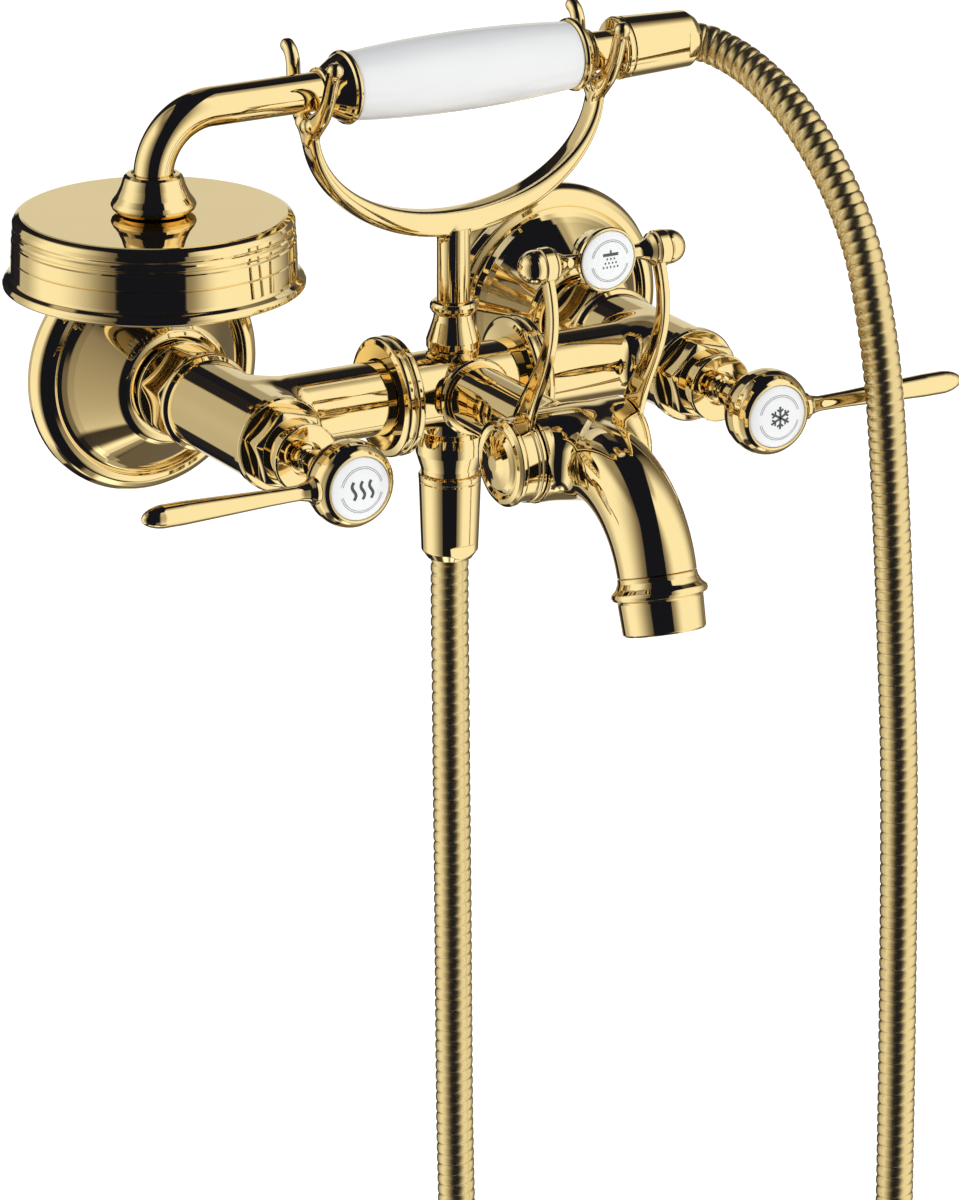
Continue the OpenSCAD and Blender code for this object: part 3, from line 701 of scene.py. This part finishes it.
def build_hose(nuts):
    """Stripwound metal hose: a helical groove at a pitch of 3.65 mm along the whole route."""
    route = [(x, -d, z) for x, d, z in HOSE_ROUTE]
    path = smooth_path(route, HOSE_STEP)
    seg = 26
    s = np.arange(len(path)) * HOSE_STEP
    _, u, w = frames(path, RIGHT)
    th = angles(seg)
    ph = (s[:, None] / HOSE_PITCH - th[None, :] / (2 * math.pi)) % 1.0
    r = HOSE_RADIUS - HOSE_GROOVE * np.abs(2 * ph - 1) ** 4.0
    near_end = np.minimum(s, s[-1] - s)
    r = np.where((near_end < 0.9)[:, None], HOSE_RADIUS - 0.4, r)
    v = (path[:, None, :] + r[..., None] * (np.cos(th)[None, :, None] * u[:, None, :]
                                            + np.sin(th)[None, :, None] * w[:, None, :])).reshape(-1, 3)
    f = [list(q) for q in tube_faces(len(path), seg)]
    last = (len(path) - 1) * seg
    v = np.concatenate([v, [path[0]], [path[-1]]])
    f += [[len(v) - 2, (q + 1) % seg, q] for q in range(seg)]
    f += [[len(v) - 1, last + q, last + (q + 1) % seg] for q in range(seg)]
    me = bpy.data.meshes.new("hose_tube")
    me.from_pydata((v * MM).tolist(), [], f)
    me.polygons.foreach_set("use_smooth", [True] * len(me.polygons))
    me.materials.append(HOSE)
    ob = bpy.data.objects.new("hose_tube", me)
    bpy.context.scene.collection.objects.link(ob)
    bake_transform(ob)
    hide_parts("hose")


def hose_nut(node, origin, axis, body):
    """Conical nut with a turned ring at its start and two wrench flats at the hose end."""
    ring = [(9.8, 0, 0.3), (10.15, 0.5, 0.4), (10.1, 1.9, 0.3), (9.75, 2.3, 0.2), (10.0, 2.8, 0.3)]
    outline, _ = rounded([(5, 0)] + ring + [(9.15, 25.6, 1.0), (7.3, 28.3, 0.5), (6.2, 28.3)])
    d0 = np.unique(np.concatenate([outline[:, 1], np.linspace(18, 28, 50)]))
    dists = [18.0] + [d for d in d0 if 18 < d <= 28.2] + [28.3]
    s = Shape()
    turned(s, origin, axis, [(5, 0.3), (5, 0)] + ring + [(9.44, 18)])

    def radius(th, d):
        r = np.interp(d, outline[:, 1], outline[:, 0])
        flat = 8.15 / np.maximum(np.abs(np.cos(th)), 1e-3) + max(0.0, 23.0 - d) * 3.0     # 16.3 mm across
        return np.minimum(r, flat)

    x, y, _ = basis(axis)
    want = vec(0, -1.0, 0)
    spin = math.atan2(want @ y, want @ x)
    surface(s, origin, axis, dists, radius, seg=240, caps=False, spin=spin)
    return gold(s, node, body)


# ---------- fixed parts of the mixer ----------

def build_wall_parts():
    """Escutcheons, union nuts, valve bodies with half the cross tube, collars and headworks."""
    for side, x in (("left", -HX), ("right", HX)):
        wall = vec(x, 0, 0)
        s = Shape()
        turned(s, wall, OUT, [
            (39.9, 0), (40.5, 0.6, 0.4), (40.5, 2.6, 2.0), (39.2, 5.6, 3.6), (36.6, 7.7, 3.6),
            (34.3, 8.35, 0.5), (33.7, 7.45, 0.3), (32.5, 8.25, 4), (31, 9.7, 6), (29.5, 11.5, 10),
            (20, 23.6, 4), (18.4, 25.0, 3), (16.6, 25.5, 2), (15.3, 25.6, 0.3), (11.9, 25.6, 0.2),
            (11.9, 24, 0.2), (15, 23.4, 0.5), (31.6, 6.2, 1), (37, 3.2, 1), (38.5, 0),
        ], seg=200)
        gold(s, "escutcheon_" + side, "mixer", "_shell")

        start = -high("union_nut_" + side)[1]
        s = Shape()
        at = wall + vec(0, -start, 0)
        turned(s, at, OUT, [
            (11.6, 0), (15.0, 0, 0.3), (15.6, 0.6, 0.5), (15.6, 1.9, 0.5), (15.1, 2.4, 0.2), (11.6, 2.4)])
        hexagon(s, at + vec(0, -2.4, 0), OUT, 27.6, 13.0, 15.6)
        gold(s, "union_nut_" + side, "mixer")

        body = vec(x, high("side_body_" + side)[1], 0)
        s = Shape()
        turned(s, body, OUT, [
            (7, 0), (12.2, 0, 0.2), (12.2, 8.5, 0.2), (14.5, 8.5, 0.2), (15.9, 9.3, 1.1), (15.9, 11.0, 1.1),
            (14.5, 12.2, 0.25), (14.3, 12.6, 0.2), (14.3, 13.5)], seg=144)
        turned(s, body, OUT, [(14.3, 54), (14.3, 57.1, 0.25), (10.2, 57.1)], seg=144)
        sx = -1 if side == "left" else 1
        tube = vec(0, BODY_Y, TUBE_Z)
        turned(s, vec(sx * CENTRE_HALF, BODY_Y, TUBE_Z), (sx, 0, 0), [
            (7.5, 0), (11.9, 0, 0.2), (11.9, 6)], seg=144)

        def valve_part(p):
            return off_line(p, body, BACK) - VALVE_R

        def tube_part(p):
            past = np.maximum(0, (p[:, 0] - x) * sx + 11)
            return np.hypot(off_line(p, tube, RIGHT), past) - TUBE_R

        valve_line = straight(body - vec(0, 13.4, 0), body - vec(0, 54.2, 0))
        tube_line = straight(tube + vec(sx * 29, 0, 0), tube + vec(sx * (HX - 12), 0, 0))
        cast(s, [valve_part, tube_part], [
            (valve_line, RIGHT, VALVE_R, 4.0), (tube_line, BACK, TUBE_R, 5.0)])
        gold(s, "side_body_" + side, "mixer")

        c = "collar_" + side
        start = low(c)[0] if sx > 0 else -high(c)[0]
        s = Shape()
        turned(s, vec(sx * start, BODY_Y, TUBE_Z), (sx, 0, 0), [
            (12.6, 0.6), (17.0, 0.0, 0.8), (19.35, 0.7, 1.3), (19.35, 3.0, 1.3), (18.3, 3.65, 0.3),
            (19.35, 4.3, 1.3), (19.35, 6.6, 1.3), (17.0, 7.3, 0.8), (12.6, 6.8),
        ], seg=144)
        gold(s, c, "mixer", "_ring")

        at = vec(x, -BONNET_AT, 0)
        s = Shape()
        turned(s, at, OUT, [
            (10, -0.1), (10, 0), (14.9, 0, 0.3), (15.3, 0.6, 0.4), (15.3, 3.2, 0.4), (14.7, 4, 0.3),
            (10, 4)])
        hexagon(s, at + vec(0, -4, 0), OUT, 24.0, 8.0, 13.5, both=True)
        turned(s, at, OUT, [
            (9.8, 11.9), (9.8, 17.2, 0.3), (10.3, 17.7, 0.3), (11, 18.1, 0.4), (11, 19.6, 0.4),
            (10.5, 20, 0.3), (5.5, 20, 0.2), (5.4, 17.6, 0.2), (4.42, 17.6, 0.1), (4.42, 12.5),
        ])
        gold(s, "bonnet_" + side, "mixer")


def build_centre():
    """The middle body, the cradle's foot and post, and the bell above the outlet nut."""
    axis = vec(0, BODY_Y, TUBE_Z)
    s = Shape()
    turned(s, axis - vec(CENTRE_HALF, 0, 0), RIGHT, [
        (7.5, 0), (12.5, 0, 0.3), (12.5, 2 * CENTRE_HALF, 0.3), (7.5, 2 * CENTRE_HALF)], seg=144)
    turned(s, axis, UP, [(8.2, 4), (8.2, 12.7, 0.2), (3, 12.7)])
    down = mid("outlet_nut")
    turned(s, vec(0, down[1], TUBE_Z), DOWN, [(10.2, 4), (10.2, 14.7, 0.2), (5, 14.7)])
    turned(s, vec(0, 0, TUBE_Z), OUT, [
        (11.4, 75), (11.4, 82.8, 0.8), (12.2, 84.2, 0.8), (12.65, 85.2, 0.5), (12.65, 86.3, 0.4),
        (12, 87.1, 0.3), (6.5, 87.1)])
    gold(s, "centre_body", "mixer")

    base = low("cradle_base")[2]
    gold_turned("cradle_base", "mixer", vec(0, BODY_Y, base), UP, [
        (3.1, 0), (8.3, 0, 0.2), (8.7, 0.8, 0.5), (8.7, 3.0, 1.5), (7.6, 6.2, 4), (6.5, 9.6, 4),
        (6.2, 11.7, 0.4), (7.0, 12.2, 0.5), (7.55, 13.2, 0.7), (7.55, 14.4, 0.7), (6.9, 15.4, 0.5),
        (5.9, 15.8, 0.3), (3.1, 15.8)])
    gold_turned("cradle_post", "mixer", vec(0, BODY_Y, base + 15.8), UP, [
        (2, 0), (5.0, 0, 0.2), (5.3, 0.3, 0.3), (5.3, 24.0), (2, 24.0)])

    s = Shape()
    top = high("outlet_bell")[2]
    turned(s, vec(0, down[1], top), DOWN, [
        (5, 0), (9.9, 0, 0.3), (10.5, 1.6, 1.5), (11.05, 4.4, 2), (11.05, 7.6, 2), (10.2, 10.4, 2),
        (9.5, 12.6, 1.5), (9.1, 14.7, 0.3), (5, 14.7)])
    gold(s, "outlet_bell", "mixer")


def build_cradle():
    """One casting: a bow, deep in the middle and thin at its ends, with a two pronged fork on each end."""
    s = Shape()
    t = np.radians(np.linspace(180, 360, 121))
    path = np.stack([51.5 * np.cos(t), np.full_like(t, BODY_Y), 92.5 + 36.65 * np.sin(t)], 1)

    def bow(i, th):
        k = abs(math.sin(t[i]))
        a = (3.3 + 5.2 * k ** 1.6) / 2
        c, q = np.cos(th), np.sin(th)
        return a * np.sign(c) * np.abs(c) ** 0.55, 4.4 * np.sign(q) * np.abs(q) ** 0.55

    swept(s, path, RIGHT, bow, seg=48)
    rise = np.linspace(48.5, 57.5, 24)

    def flare(i, th):
        k = max(0, (rise[i] - 49) / 8.5)
        return (5.3 + 7.5 * k ** 2.2) * np.cos(th), (5.3 - 1.0 * k) * np.sin(th)

    swept(s, np.stack([0 * rise, 0 * rise + BODY_Y, rise], 1), RIGHT, flare, seg=48)
    half_turn = np.linspace(0, math.pi, 14)
    fork_x = mid("cradle")[0] + (high("cradle")[0] - low("cradle")[0]) / 2 - 2.2
    for sx in (-1, 1):
        for off, up in ((0, 93.6), (-3.2, 94.4), (3.2, 94.4)):
            turned(s, vec(sx * fork_x, BODY_Y - off, up - 3.2), UP, [
                (3.2 * math.sin(q), 3.2 - 3.2 * math.cos(q), 0.01) for q in half_turn], seg=32)
        front = ((0.3, 88), (2.0, 92), (4.8, 95.4), (8.4, 98.6), (11.5, 103), (13.4, 107.5),
                 (14.6, 111), (16.4, 114.9))
        rear = ((-0.3, 88), (-2.0, 92), (-4.8, 95.4), (-7.8, 98.8), (-9.8, 103.4), (-10.5, 108),
                (-10.9, 112.2), (-12.4, 115.0), (-14.5, 116.3))
        for line in (front, rear):
            p = smooth_path([(sx * fork_x, BODY_Y - a, b) for a, b in line], 0.7)
            thick = 2.3 + 1.2 * np.exp(-((p[:, 2] - 95) / 4.5) ** 2)

            def prong(i, th):
                return min(2.5, thick[i]) * np.cos(th), thick[i] * np.sin(th)

            swept(s, p, RIGHT, prong, seg=24)
            tip = 2.75 if line is front else 2.35
            c = p[-1]
            turned(s, c - vec(0, 0, tip), UP, [
                (tip * math.sin(q), tip * (1 - math.cos(q)), 0.01) for q in half_turn], seg=24)
    ob = s.make("cradle_casting", GOLD)
    mod = ob.modifiers.new("join", "REMESH")
    mod.mode = "VOXEL"
    mod.voxel_size = 0.36 * MM
    mod.use_smooth_shade = True
    sm = ob.modifiers.new("polish", "SMOOTH")
    sm.factor = 0.5
    sm.iterations = 12
    place(ob, "mixer", "polished_gold", "cradle")


def build_diverter():
    """The front arm, the diverter's barrel, and the spout with its end."""
    gold_turned("front_arm", "mixer", vec(0, 0, BARREL_Z), OUT, [
        (6.5, 87.1), (10.8, 87.1, 0.2), (10.8, 136), (6.5, 136)])

    s = Shape()
    front = vec(0, BARREL_Y, BARREL_Z)
    for sx in (-1, 1):
        turned(s, front, (sx, 0, 0), [
            (9.1, 17.4), (13.9, 17.4, 0.3), (14.4, 16.9, 0.4), (14.4, 14)], seg=160)
    root_y = high("spout")[1]
    angle = np.radians(np.linspace(0, SPOUT_TURN, 110))
    arc = np.stack([np.zeros_like(angle), root_y - SPOUT_BEND * np.sin(angle),
                    BARREL_Z - SPOUT_BEND * (1 - np.cos(angle))], 1)

    def barrel_part(p):
        return off_line(p, front, RIGHT) - BARREL_R

    def arm_part(p):
        return np.hypot(off_line(p, front, BACK), np.maximum(0, BARREL_Y + 8 - p[:, 1])) - ARM_R

    def spout_part(p):
        past = np.maximum(0, p[:, 1] - BARREL_Y + 6)
        line = np.hypot(off_line(p, front, BACK), past) - SPOUT_R
        out, up = root_y - p[:, 1], p[:, 2] - BARREL_Z + SPOUT_BEND
        turn = np.clip(np.arctan2(out, up) / math.radians(SPOUT_TURN), 0, 1)
        bent = np.hypot(p[:, 0], np.hypot(out, up) - SPOUT_BEND) - SPOUT_R + 0.55 * turn
        return np.where(out > 0, bent, line)

    parts = [barrel_part, arm_part, spout_part]
    cast(s, parts, [
        (straight(front - vec(15, 0, 0), front + vec(15, 0, 0)), BACK, BARREL_R, 5.0),
        (straight(front + vec(0, 8, 0), front + vec(0, 26, 0)), RIGHT, ARM_R, 5.0),
        (straight(front - vec(0, 6, 0), [0, root_y, BARREL_Z]), RIGHT, SPOUT_R, 5.0)])
    gold(s, "diverter_body", "mixer")

    mouth = MOUNTS["spout_mouth"]
    axis = np.array(mouth["axis"])
    start = np.array(mouth["pos_m"]) / MM - axis * 18.3
    s = Shape()
    cast(s, parts, [(arc, RIGHT, SPOUT_R, 5.0)])
    cap(s, arc[-1] + 12.3 * ring_about(axis), axis)
    gold(s, "spout", "mixer", "_pipe")
    gold_turned("aerator_housing", "mixer", start, axis, [
        (8.6, 0.2), (12.0, 0.2, 0.1), (12.35, 0.5, 0.15), (12.45, 1.8, 1), (13.3, 3.7, 1.6),
        (14.75, 5.0, 0.7), (14.95, 6.1, 0.6), (14.6, 7.0, 0.5), (13.6, 7.5, 0.3), (13.25, 8.1, 0.3),
        (13.25, 8.9, 0.3), (12.9, 17.6, 0.5), (12.3, 18.3, 0.4), (11.4, 18.3, 0.2), (11.05, 17.8, 0.3),
        (11.05, 9.5), (8.6, 9.5)], seg=144)


# ---------- yoke ----------

def build_yoke():
    """Hubs, end caps, curved arms, crossbar with finials, and the boss with its porcelain."""
    gold_turned("yoke_hub_left", "yoke", vec(-HUB_IN, BARREL_Y, BARREL_Z), LEFT, [
        (4, 0), (13.3, 0, 0.3), (13.85, 0.4, 0.4), (13.85, 1.3, 0.4), (13.3, 1.7, 0.15),
        (13.3, 2.3, 0.15), (13.7, 2.6, 0.3), (13.3, 3.0, 0.2), (13.3, 6.6), (4, 6.6)], seg=144)
    gold_turned("yoke_hub_right", "yoke", vec(HUB_IN, BARREL_Y, BARREL_Z), RIGHT, [
        (4, 0), (13, 0, 0.3), (13.5, 0.5, 0.4), (13.5, 1.4, 0.6), (12.6, 2.4, 0.6), (4, 2.4)], seg=144)

    cap_x = high("end_cap_left")[0]
    gold_turned("end_cap_left", "yoke", vec(cap_x, BARREL_Y, BARREL_Z), LEFT, [
        (0, 0), (13.3, 0, 0.2), (14.1, 0.7, 0.5), (14.1, 2.0, 0.6), (13.0, 3.0, 0.5), (11.6, 3.4, 0.6),
        (10.2, 2.7, 0.3), (9.5, 3.3, 0.3), (8.4, 4.1, 0.6), (5.5, 4.6, 2), (2.5, 5.3, 2), (0, 5.4)],
        seg=144)
    cap_x = low("end_cap_right")[0]
    gold_turned("end_cap_right", "yoke", vec(cap_x, BARREL_Y, BARREL_Z), RIGHT, [
        (0, 0), (8.1, 0, 0.1), (8.2, 0.8, 0.3), (6.6, 1.5, 0.8), (0, 1.9)])

    for side, sx, x in (("left", -1, 20.3), ("right", 1, 19.2)):
        t = np.linspace(0, 1, 61)[:, None]
        u = 1 - t
        eye = np.array([BARREL_Y - EYE[1], EYE[2] - BARREL_Z])
        c = (u ** 3 * np.array([1, 8]) + 3 * u * u * t * np.array([8, 30])
             + 3 * u * t * t * np.array([29, 40]) + t ** 3 * eye)
        c = c[4:]
        path = np.stack([np.full(len(c), sx * x), BARREL_Y - c[:, 0], BARREL_Z + c[:, 1]], 1)

        def arm(i, th):
            k = (i + 4) / 60
            half = 2.45 + 3.4 * (1 - k) ** 3
            a, b = np.cos(th), np.sin(th)
            return 1.4 * np.sign(a) * np.abs(a) ** 0.45, half * np.sign(b) * np.abs(b) ** 0.45

        s = Shape()
        swept(s, path, RIGHT, arm, seg=64)
        turned(s, vec(sx * 18.2, EYE[1], EYE[2]), (sx, 0, 0), [
            (2.3, 0), (5.2, 0, 0.3), (5.7, 0.5, 0.5), (5.7, 3.7, 0.5), (5.2, 4.2, 0.3), (2.3, 4.2)], seg=96)
        gold(s, "yoke_arm_" + side, "yoke")

    s = Shape()
    for sx in (-1, 1):
        turned(s, vec(0, EYE[1], EYE[2]), (sx, 0, 0), [
            (2.1, 0), (2.1, 9.5, 4), (2.35, 13, 4), (3.5, 15.8, 2.5), (5.1, 17.2, 0.6), (5.3, 18.1, 0.2),
            (2.2, 18.1), (2.2, 26)])
    gold(s, "crossbar", "yoke")
    s = Shape()
    arc = np.radians(np.linspace(-12, 90, 16))
    ball = [(5.4 * math.cos(a), 1.2 + 5.4 * math.sin(a), 0.05) for a in arc]
    for sx in (-1, 1):
        turned(s, vec(sx * 22.4, EYE[1], EYE[2]), (sx, 0, 0),
               [(2.2, 0.08), (5.0, 0.08, 0.1)] + ball[:-1] + [(0, 6.6)])
    gold(s, "finials", "yoke")

    at = vec(0, high("yoke_boss")[1], EYE[2])
    gold_turned("yoke_boss", "yoke", at, OUT, [
        (0, 0), (4.6, 0.1, 1.5), (6.9, 1.6, 1.5), (7.8, 3.8, 3), (8.0, 6.0, 4), (8.8, 8.4, 3),
        (9.9, 10.0, 1.2), (10.15, 11.2, 0.5), (9.9, 12.0, 0.3), (9.35, 12.2, 0.15), (9.15, 11.9, 0.1),
        (9.15, 10.8), (0, 10.8)], seg=144)
    porcelain_disc("yoke_cap_disc", "yoke_cap", 9.1, 1.2, 1.6, "yoke", "spray")


# ---------- porcelain discs and their marks ----------

def porcelain_disc(name, node, r, edge, rise, body, mark):
    """A domed porcelain disc with double arcs and one plain mark."""
    c = mid(node)
    at = vec(c[0], high(node)[1], c[2])
    s = Shape()
    dome = [(r * math.cos(a), edge + rise * math.sin(a), 0.8) for a in np.radians(np.linspace(8, 82, 14))]
    outline = [(0, 0), (r - 0.1, 0, 0.1), (r, edge, 0.2)] + dome + [(0, edge + rise)]
    turned(s, at, OUT, outline, seg=144)
    place(s.make(name, WHITE), body, "porcelain", node)

    def lift(p):
        q = min(0.999, math.hypot(*p) / r)
        return edge + rise * math.sqrt(1 - q * q)

    def ribbon(shape, line, width):
        """A thin raised stripe that follows the dome."""
        p = np.asarray(line, float)
        d = np.gradient(p, axis=0)
        d /= np.maximum(np.linalg.norm(d, axis=1), 1e-9)[:, None]
        q = np.stack([-d[:, 1], d[:, 0]], 1) * width / 2
        rows = []
        for a, b in zip(p + q, p - q):
            rows.append([(a, 0.035), (b, 0.035), (b, -0.12), (a, -0.12)])
        v = [at + vec(e[0], -(lift(e) + h), e[1]) for row in rows for e, h in row]
        f = []
        for i in range(len(rows) - 1):
            for k in range(4):
                m = (k + 1) % 4
                f.append((i * 4 + k, (i + 1) * 4 + k, (i + 1) * 4 + m, i * 4 + m))
        last = (len(rows) - 1) * 4
        f += [(0, 1, 2, 3), (last + 3, last + 2, last + 1, last)]
        shape.add(v, f)

    s = Shape()
    k = r / 10.1
    for rad in (6.75, 7.3):
        for a0, a1 in ((14, 166), (194, 346)):
            a = np.radians(np.linspace(a0, a1, 40))
            ribbon(s, np.stack([rad * k * np.cos(a), rad * k * np.sin(a)], 1), 0.16)
    place(s.make(name + "_rings", FAINT), body, "porcelain")

    s = Shape()
    line = np.linspace(0, 1, 24)
    if mark == "warm":
        for cx in (-3.0, 0, 3.0):
            ribbon(s, np.stack([cx + 0.65 * np.sin(line * 2 * math.pi), (line - 0.5) * 5.8], 1), 1.0)
    elif mark == "cool":
        for q in range(3):
            a = math.radians(60 * q + 30)
            d = np.array([math.cos(a), math.sin(a)])
            ribbon(s, [d * e for e in np.linspace(-3.7, 3.7, 12)], 0.75)
        for q in range(6):
            a = math.radians(60 * q + 30)
            d = np.array([math.cos(a), math.sin(a)])
            for turn in (-1, 1):
                b = a + turn * math.radians(55)
                e = np.array([math.cos(b), math.sin(b)])
                ribbon(s, [d * 2.0 + e * w for w in np.linspace(0, 1.4, 6)], 0.62)
    else:
        ribbon(s, [(w, 2.1) for w in np.linspace(-2.7, 2.7, 12)], 0.95)
        ribbon(s, [(0, w) for w in np.linspace(2.4, 3.5, 5)], 0.6)
        for row, n in ((0.75, 3), (-0.55, 4), (-1.85, 5)):
            for q in range(n):
                cx = (q - (n - 1) / 2) * 1.25
                ribbon(s, [(cx, row + w) for w in np.linspace(-0.32, 0.32, 4)], 0.5)
    place(s.make(name + "_mark", INK), body, "porcelain")


# ---------- tap handles ----------

def build_handles():
    """Spindles, knobs and levers of the hot and the cold handle."""
    for side, sx, body, mark in (("left", -1, "hot_handle", "warm"), ("right", 1, "cold_handle", "cool")):
        x = sx * HX
        stem = vec(x, 0, 0)
        s = Shape()
        grooves = []
        for g in (112.6, 114.8):
            grooves += [(3.3, g, 0.2), (2.75, g + 0.5, 0.2), (2.75, g + 1.1, 0.2), (3.3, g + 1.6, 0.2)]
        turned(s, stem, OUT, [
            (0, 74), (7.2, 74), (7.2, 77, 0.2), (4.34, 77.6, 0.2), (4.34, 111.4, 0.2), (3.3, 111.8, 0.2)]
            + grooves + [(3.3, 135.4), (0, 135.4)], seg=64)
        gold(s, "spindle_" + side, body)

        at = vec(x, high("knob_" + side)[1], 0)
        gold_turned("knob_" + side, body, at, OUT, [
            (3.4, -4.4), (4.3, -4.4, 0.2), (4.7, -3.9, 0.4), (4.7, 0.2, 0.3), (5.1, 0.6, 0.3),
            (5.1, 5.6, 1.0), (6.3, 7.0, 1.5), (9.2, 8.5, 4), (11.9, 10.9, 5), (13.3, 13.8, 5),
            (13.75, 16.4, 5), (13.7, 19.2, 4), (13.1, 21.5, 4), (11.9, 23.2, 2.5), (10.9, 24.0, 0.8),
            (10.35, 24.1, 0.15), (10.15, 23.8, 0.1), (10.15, 21.8), (0, 21.8)], seg=160)

        c = mid("lever_" + side)
        reach = abs((high if sx > 0 else low)("lever_" + side)[0]) - HX
        tip = [(3.75 * math.cos(a), reach - 8.5 + 8.5 * math.sin(a), 6)
               for a in np.radians([12, 26, 40, 54, 66, 76, 83])]
        s = Shape()
        turned(s, vec(x, c[1], c[2]), (sx, 0, 0), [
            (0, 11), (4.5, 12.4, 0.4), (4.4, 13.9, 0.6), (3.2, 15.4, 2), (2.45, 18.5, 8), (2.6, 28, 60),
            (3.2, 44, 60), (3.7, reach - 14, 40)] + tip + [(0, reach)], seg=96)
        gold(s, "lever_" + side, body)
        porcelain_disc("cap_" + side + "_disc", "cap_" + side, 10.1, 1.8, 2.0, body, mark)


# ---------- hand shower ----------

def build_handset():
    """Head, collar, bent arm, ferrules, porcelain grip and connector."""
    c = mid("head_shell")
    z0 = low("head_shell")[2]
    at = vec(c[0], c[1], z0)
    gold_turned("head_shell", "handset", at, UP, [
        (42.3, 3.9), (42.5, 1.4, 0.3), (43.5, 0, 0.5), (45.7, 0, 0.8), (46.95, 0.8, 0.7),
        (47.0, 1.9, 0.6), (46.4, 3.0, 0.8), (45.0, 3.9, 0.8), (44.55, 4.8, 0.4), (44.35, 10.2, 0.1),
        (43.95, 10.55, 0.1), (44.35, 10.9, 0.1), (44.15, 15.2, 0.2), (43.6, 15.7, 0.3),
        (43.6, 16.3, 0.3), (44.0, 16.9, 0.4), (43.9, 17.9, 0.4), (43.3, 18.6, 0.3), (43.4, 19.1, 0.3),
        (43.85, 19.9, 0.6), (43.75, 21.2, 0.8), (42.9, 22.6, 1.0), (41.4, 23.35, 0.8), (40.6, 23.5, 0.6),
        (0, 23.5)], seg=224)

    gold_turned("head_collar", "handset", vec(c[0], c[1], low("head_collar")[2]), UP, [
        (6.2, 0), (10.4, 0, 0.2), (11.6, 0.5, 0.6), (12.9, 1.6, 0.9), (13.35, 2.7, 0.8),
        (12.8, 3.9, 0.9), (11.4, 5.8, 3), (10.1, 8.6, 4), (9.5, 10.6, 1), (9.1, 11.6, 0.4),
        (8.2, 12.3, 0.5), (7.0, 12.4, 0.4), (6.2, 12.0)], seg=128)

    top = HAND[2]
    a = np.radians(np.linspace(180, 90, 46))
    line = [(c[0], c[1], z) for z in np.linspace(z0 + 23.5, top - 20, 12)]
    line += [(c[0] + 20 + 20 * math.cos(q), c[1], top - 20 + 20 * math.sin(q)) for q in a[1:]]
    line += [(x, c[1], top) for x in np.linspace(c[0] + 20, -43, 20)[1:]]
    s = Shape()
    swept(s, np.array(line), BACK, lambda i, th: (6.2 * np.cos(th), 6.2 * np.sin(th)), seg=96)
    gold(s, "arm_tube", "handset")

    for node, sx in (("ferrule_front", -1), ("ferrule_rear", 1)):
        start = -high(node)[0] if sx < 0 else low(node)[0]
        end = -low(node)[0] if sx < 0 else high(node)[0]
        ln = end - start
        gold_turned(node, "handset", vec(sx * start, HAND[1], top), (sx, 0, 0), [
            (6.3, 0), (10.9, 0, 0.2), (11.5, 0.4, 0.4), (11.85, 1.2, 0.5), (11.5, 2.1, 0.4),
            (10.75, 2.5, 0.15), (10.55, 2.9, 0.2), (10.35, 3.3, 0.5), (9.5, 0.45 * ln, 3),
            (8.2, 0.64 * ln, 4), (7.0, 0.80 * ln, 1), (6.75, 0.86 * ln, 0.2), (7.4, 0.90 * ln, 0.25),
            (7.4, 0.97 * ln, 0.2), (6.9, ln, 0.15), (6.3, ln)], seg=128)

    x0, x1 = low("grip")[0], high("grip")[0]
    half = (x1 - x0) / 2
    body = [(12.6 - 1.9 * t * t, half + t * half, 0.3) for t in np.linspace(-0.985, 0.985, 40)]
    s = Shape()
    outline = [(4.6, 0), (10.5, 0, 0.3)] + body + [(10.5, 2 * half, 0.3), (4.6, 2 * half)]
    turned(s, vec(x0, HAND[1], top), RIGHT, outline, seg=144)
    place(s.make("grip_porcelain", WHITE), "handset", "porcelain", "grip")

    gold_turned("connector", "handset", vec(41.7, HAND[1], top), RIGHT, [
        (4.5, 0), (6.25, 0, 0.2), (6.25, 15.6, 0.5), (9.2, 15.9, 0.3), (9.4, 16.2, 0.2), (9.4, 16.8),
        (4.6, 16.8)])


# ---------- CAD nodes that stay, with better materials ----------

def finish_cad_nodes():
    """Washers, ceramic discs, spray plate and other nodes whose CAD shape is right."""
    slots = {
        "inlet_union_left": (GOLD, "polished_gold"), "inlet_union_right": (GOLD, "polished_gold"),
        "inlet_washer_left": (RUBBER, "rubber"), "inlet_washer_right": (RUBBER, "rubber"),
        "seat_left": (CERAMIC, "valve_ceramic"), "seat_right": (CERAMIC, "valve_ceramic"),
        "disc_left": (CERAMIC, "valve_ceramic"), "disc_right": (CERAMIC, "valve_ceramic"),
        "aerator_insert": (PLASTIC, "aerator_plastic"), "diverter_spindle": (GOLD, "polished_gold"),
        "spray_plate": (GOLD, "polished_gold"), "spray_nozzles": (NOZZLE, "nozzle_rubber"),
    }
    for node, (material, slot) in slots.items():
        ob = frame["nodes"][node]
        ob.data.materials.clear()
        ob.data.materials.append(material)


build_camera()
build_hose([
    hose_nut("outlet_nut", vec(0, mid("outlet_nut")[1], high("outlet_nut")[2]), DOWN, "mixer"),
    hose_nut("handset_nut", vec(low("handset_nut")[0], HAND[1], HAND[2]), RIGHT, "handset"),
])
build_wall_parts()
build_centre()
build_cradle()
build_diverter()
build_yoke()
build_handles()
build_handset()
finish_cad_nodes()
build_world()
soft_light("key_light", (2.2, -2.6, 1.6), 2.2, 44)
soft_light("fill_light", (-2.8, -2.0, 1.2), 2.4, 30)
soft_light("top_light", (0.2, -0.6, 3.2), 2.6, 20)
build_floor()
bpy.context.scene.view_settings.view_transform = "Standard"
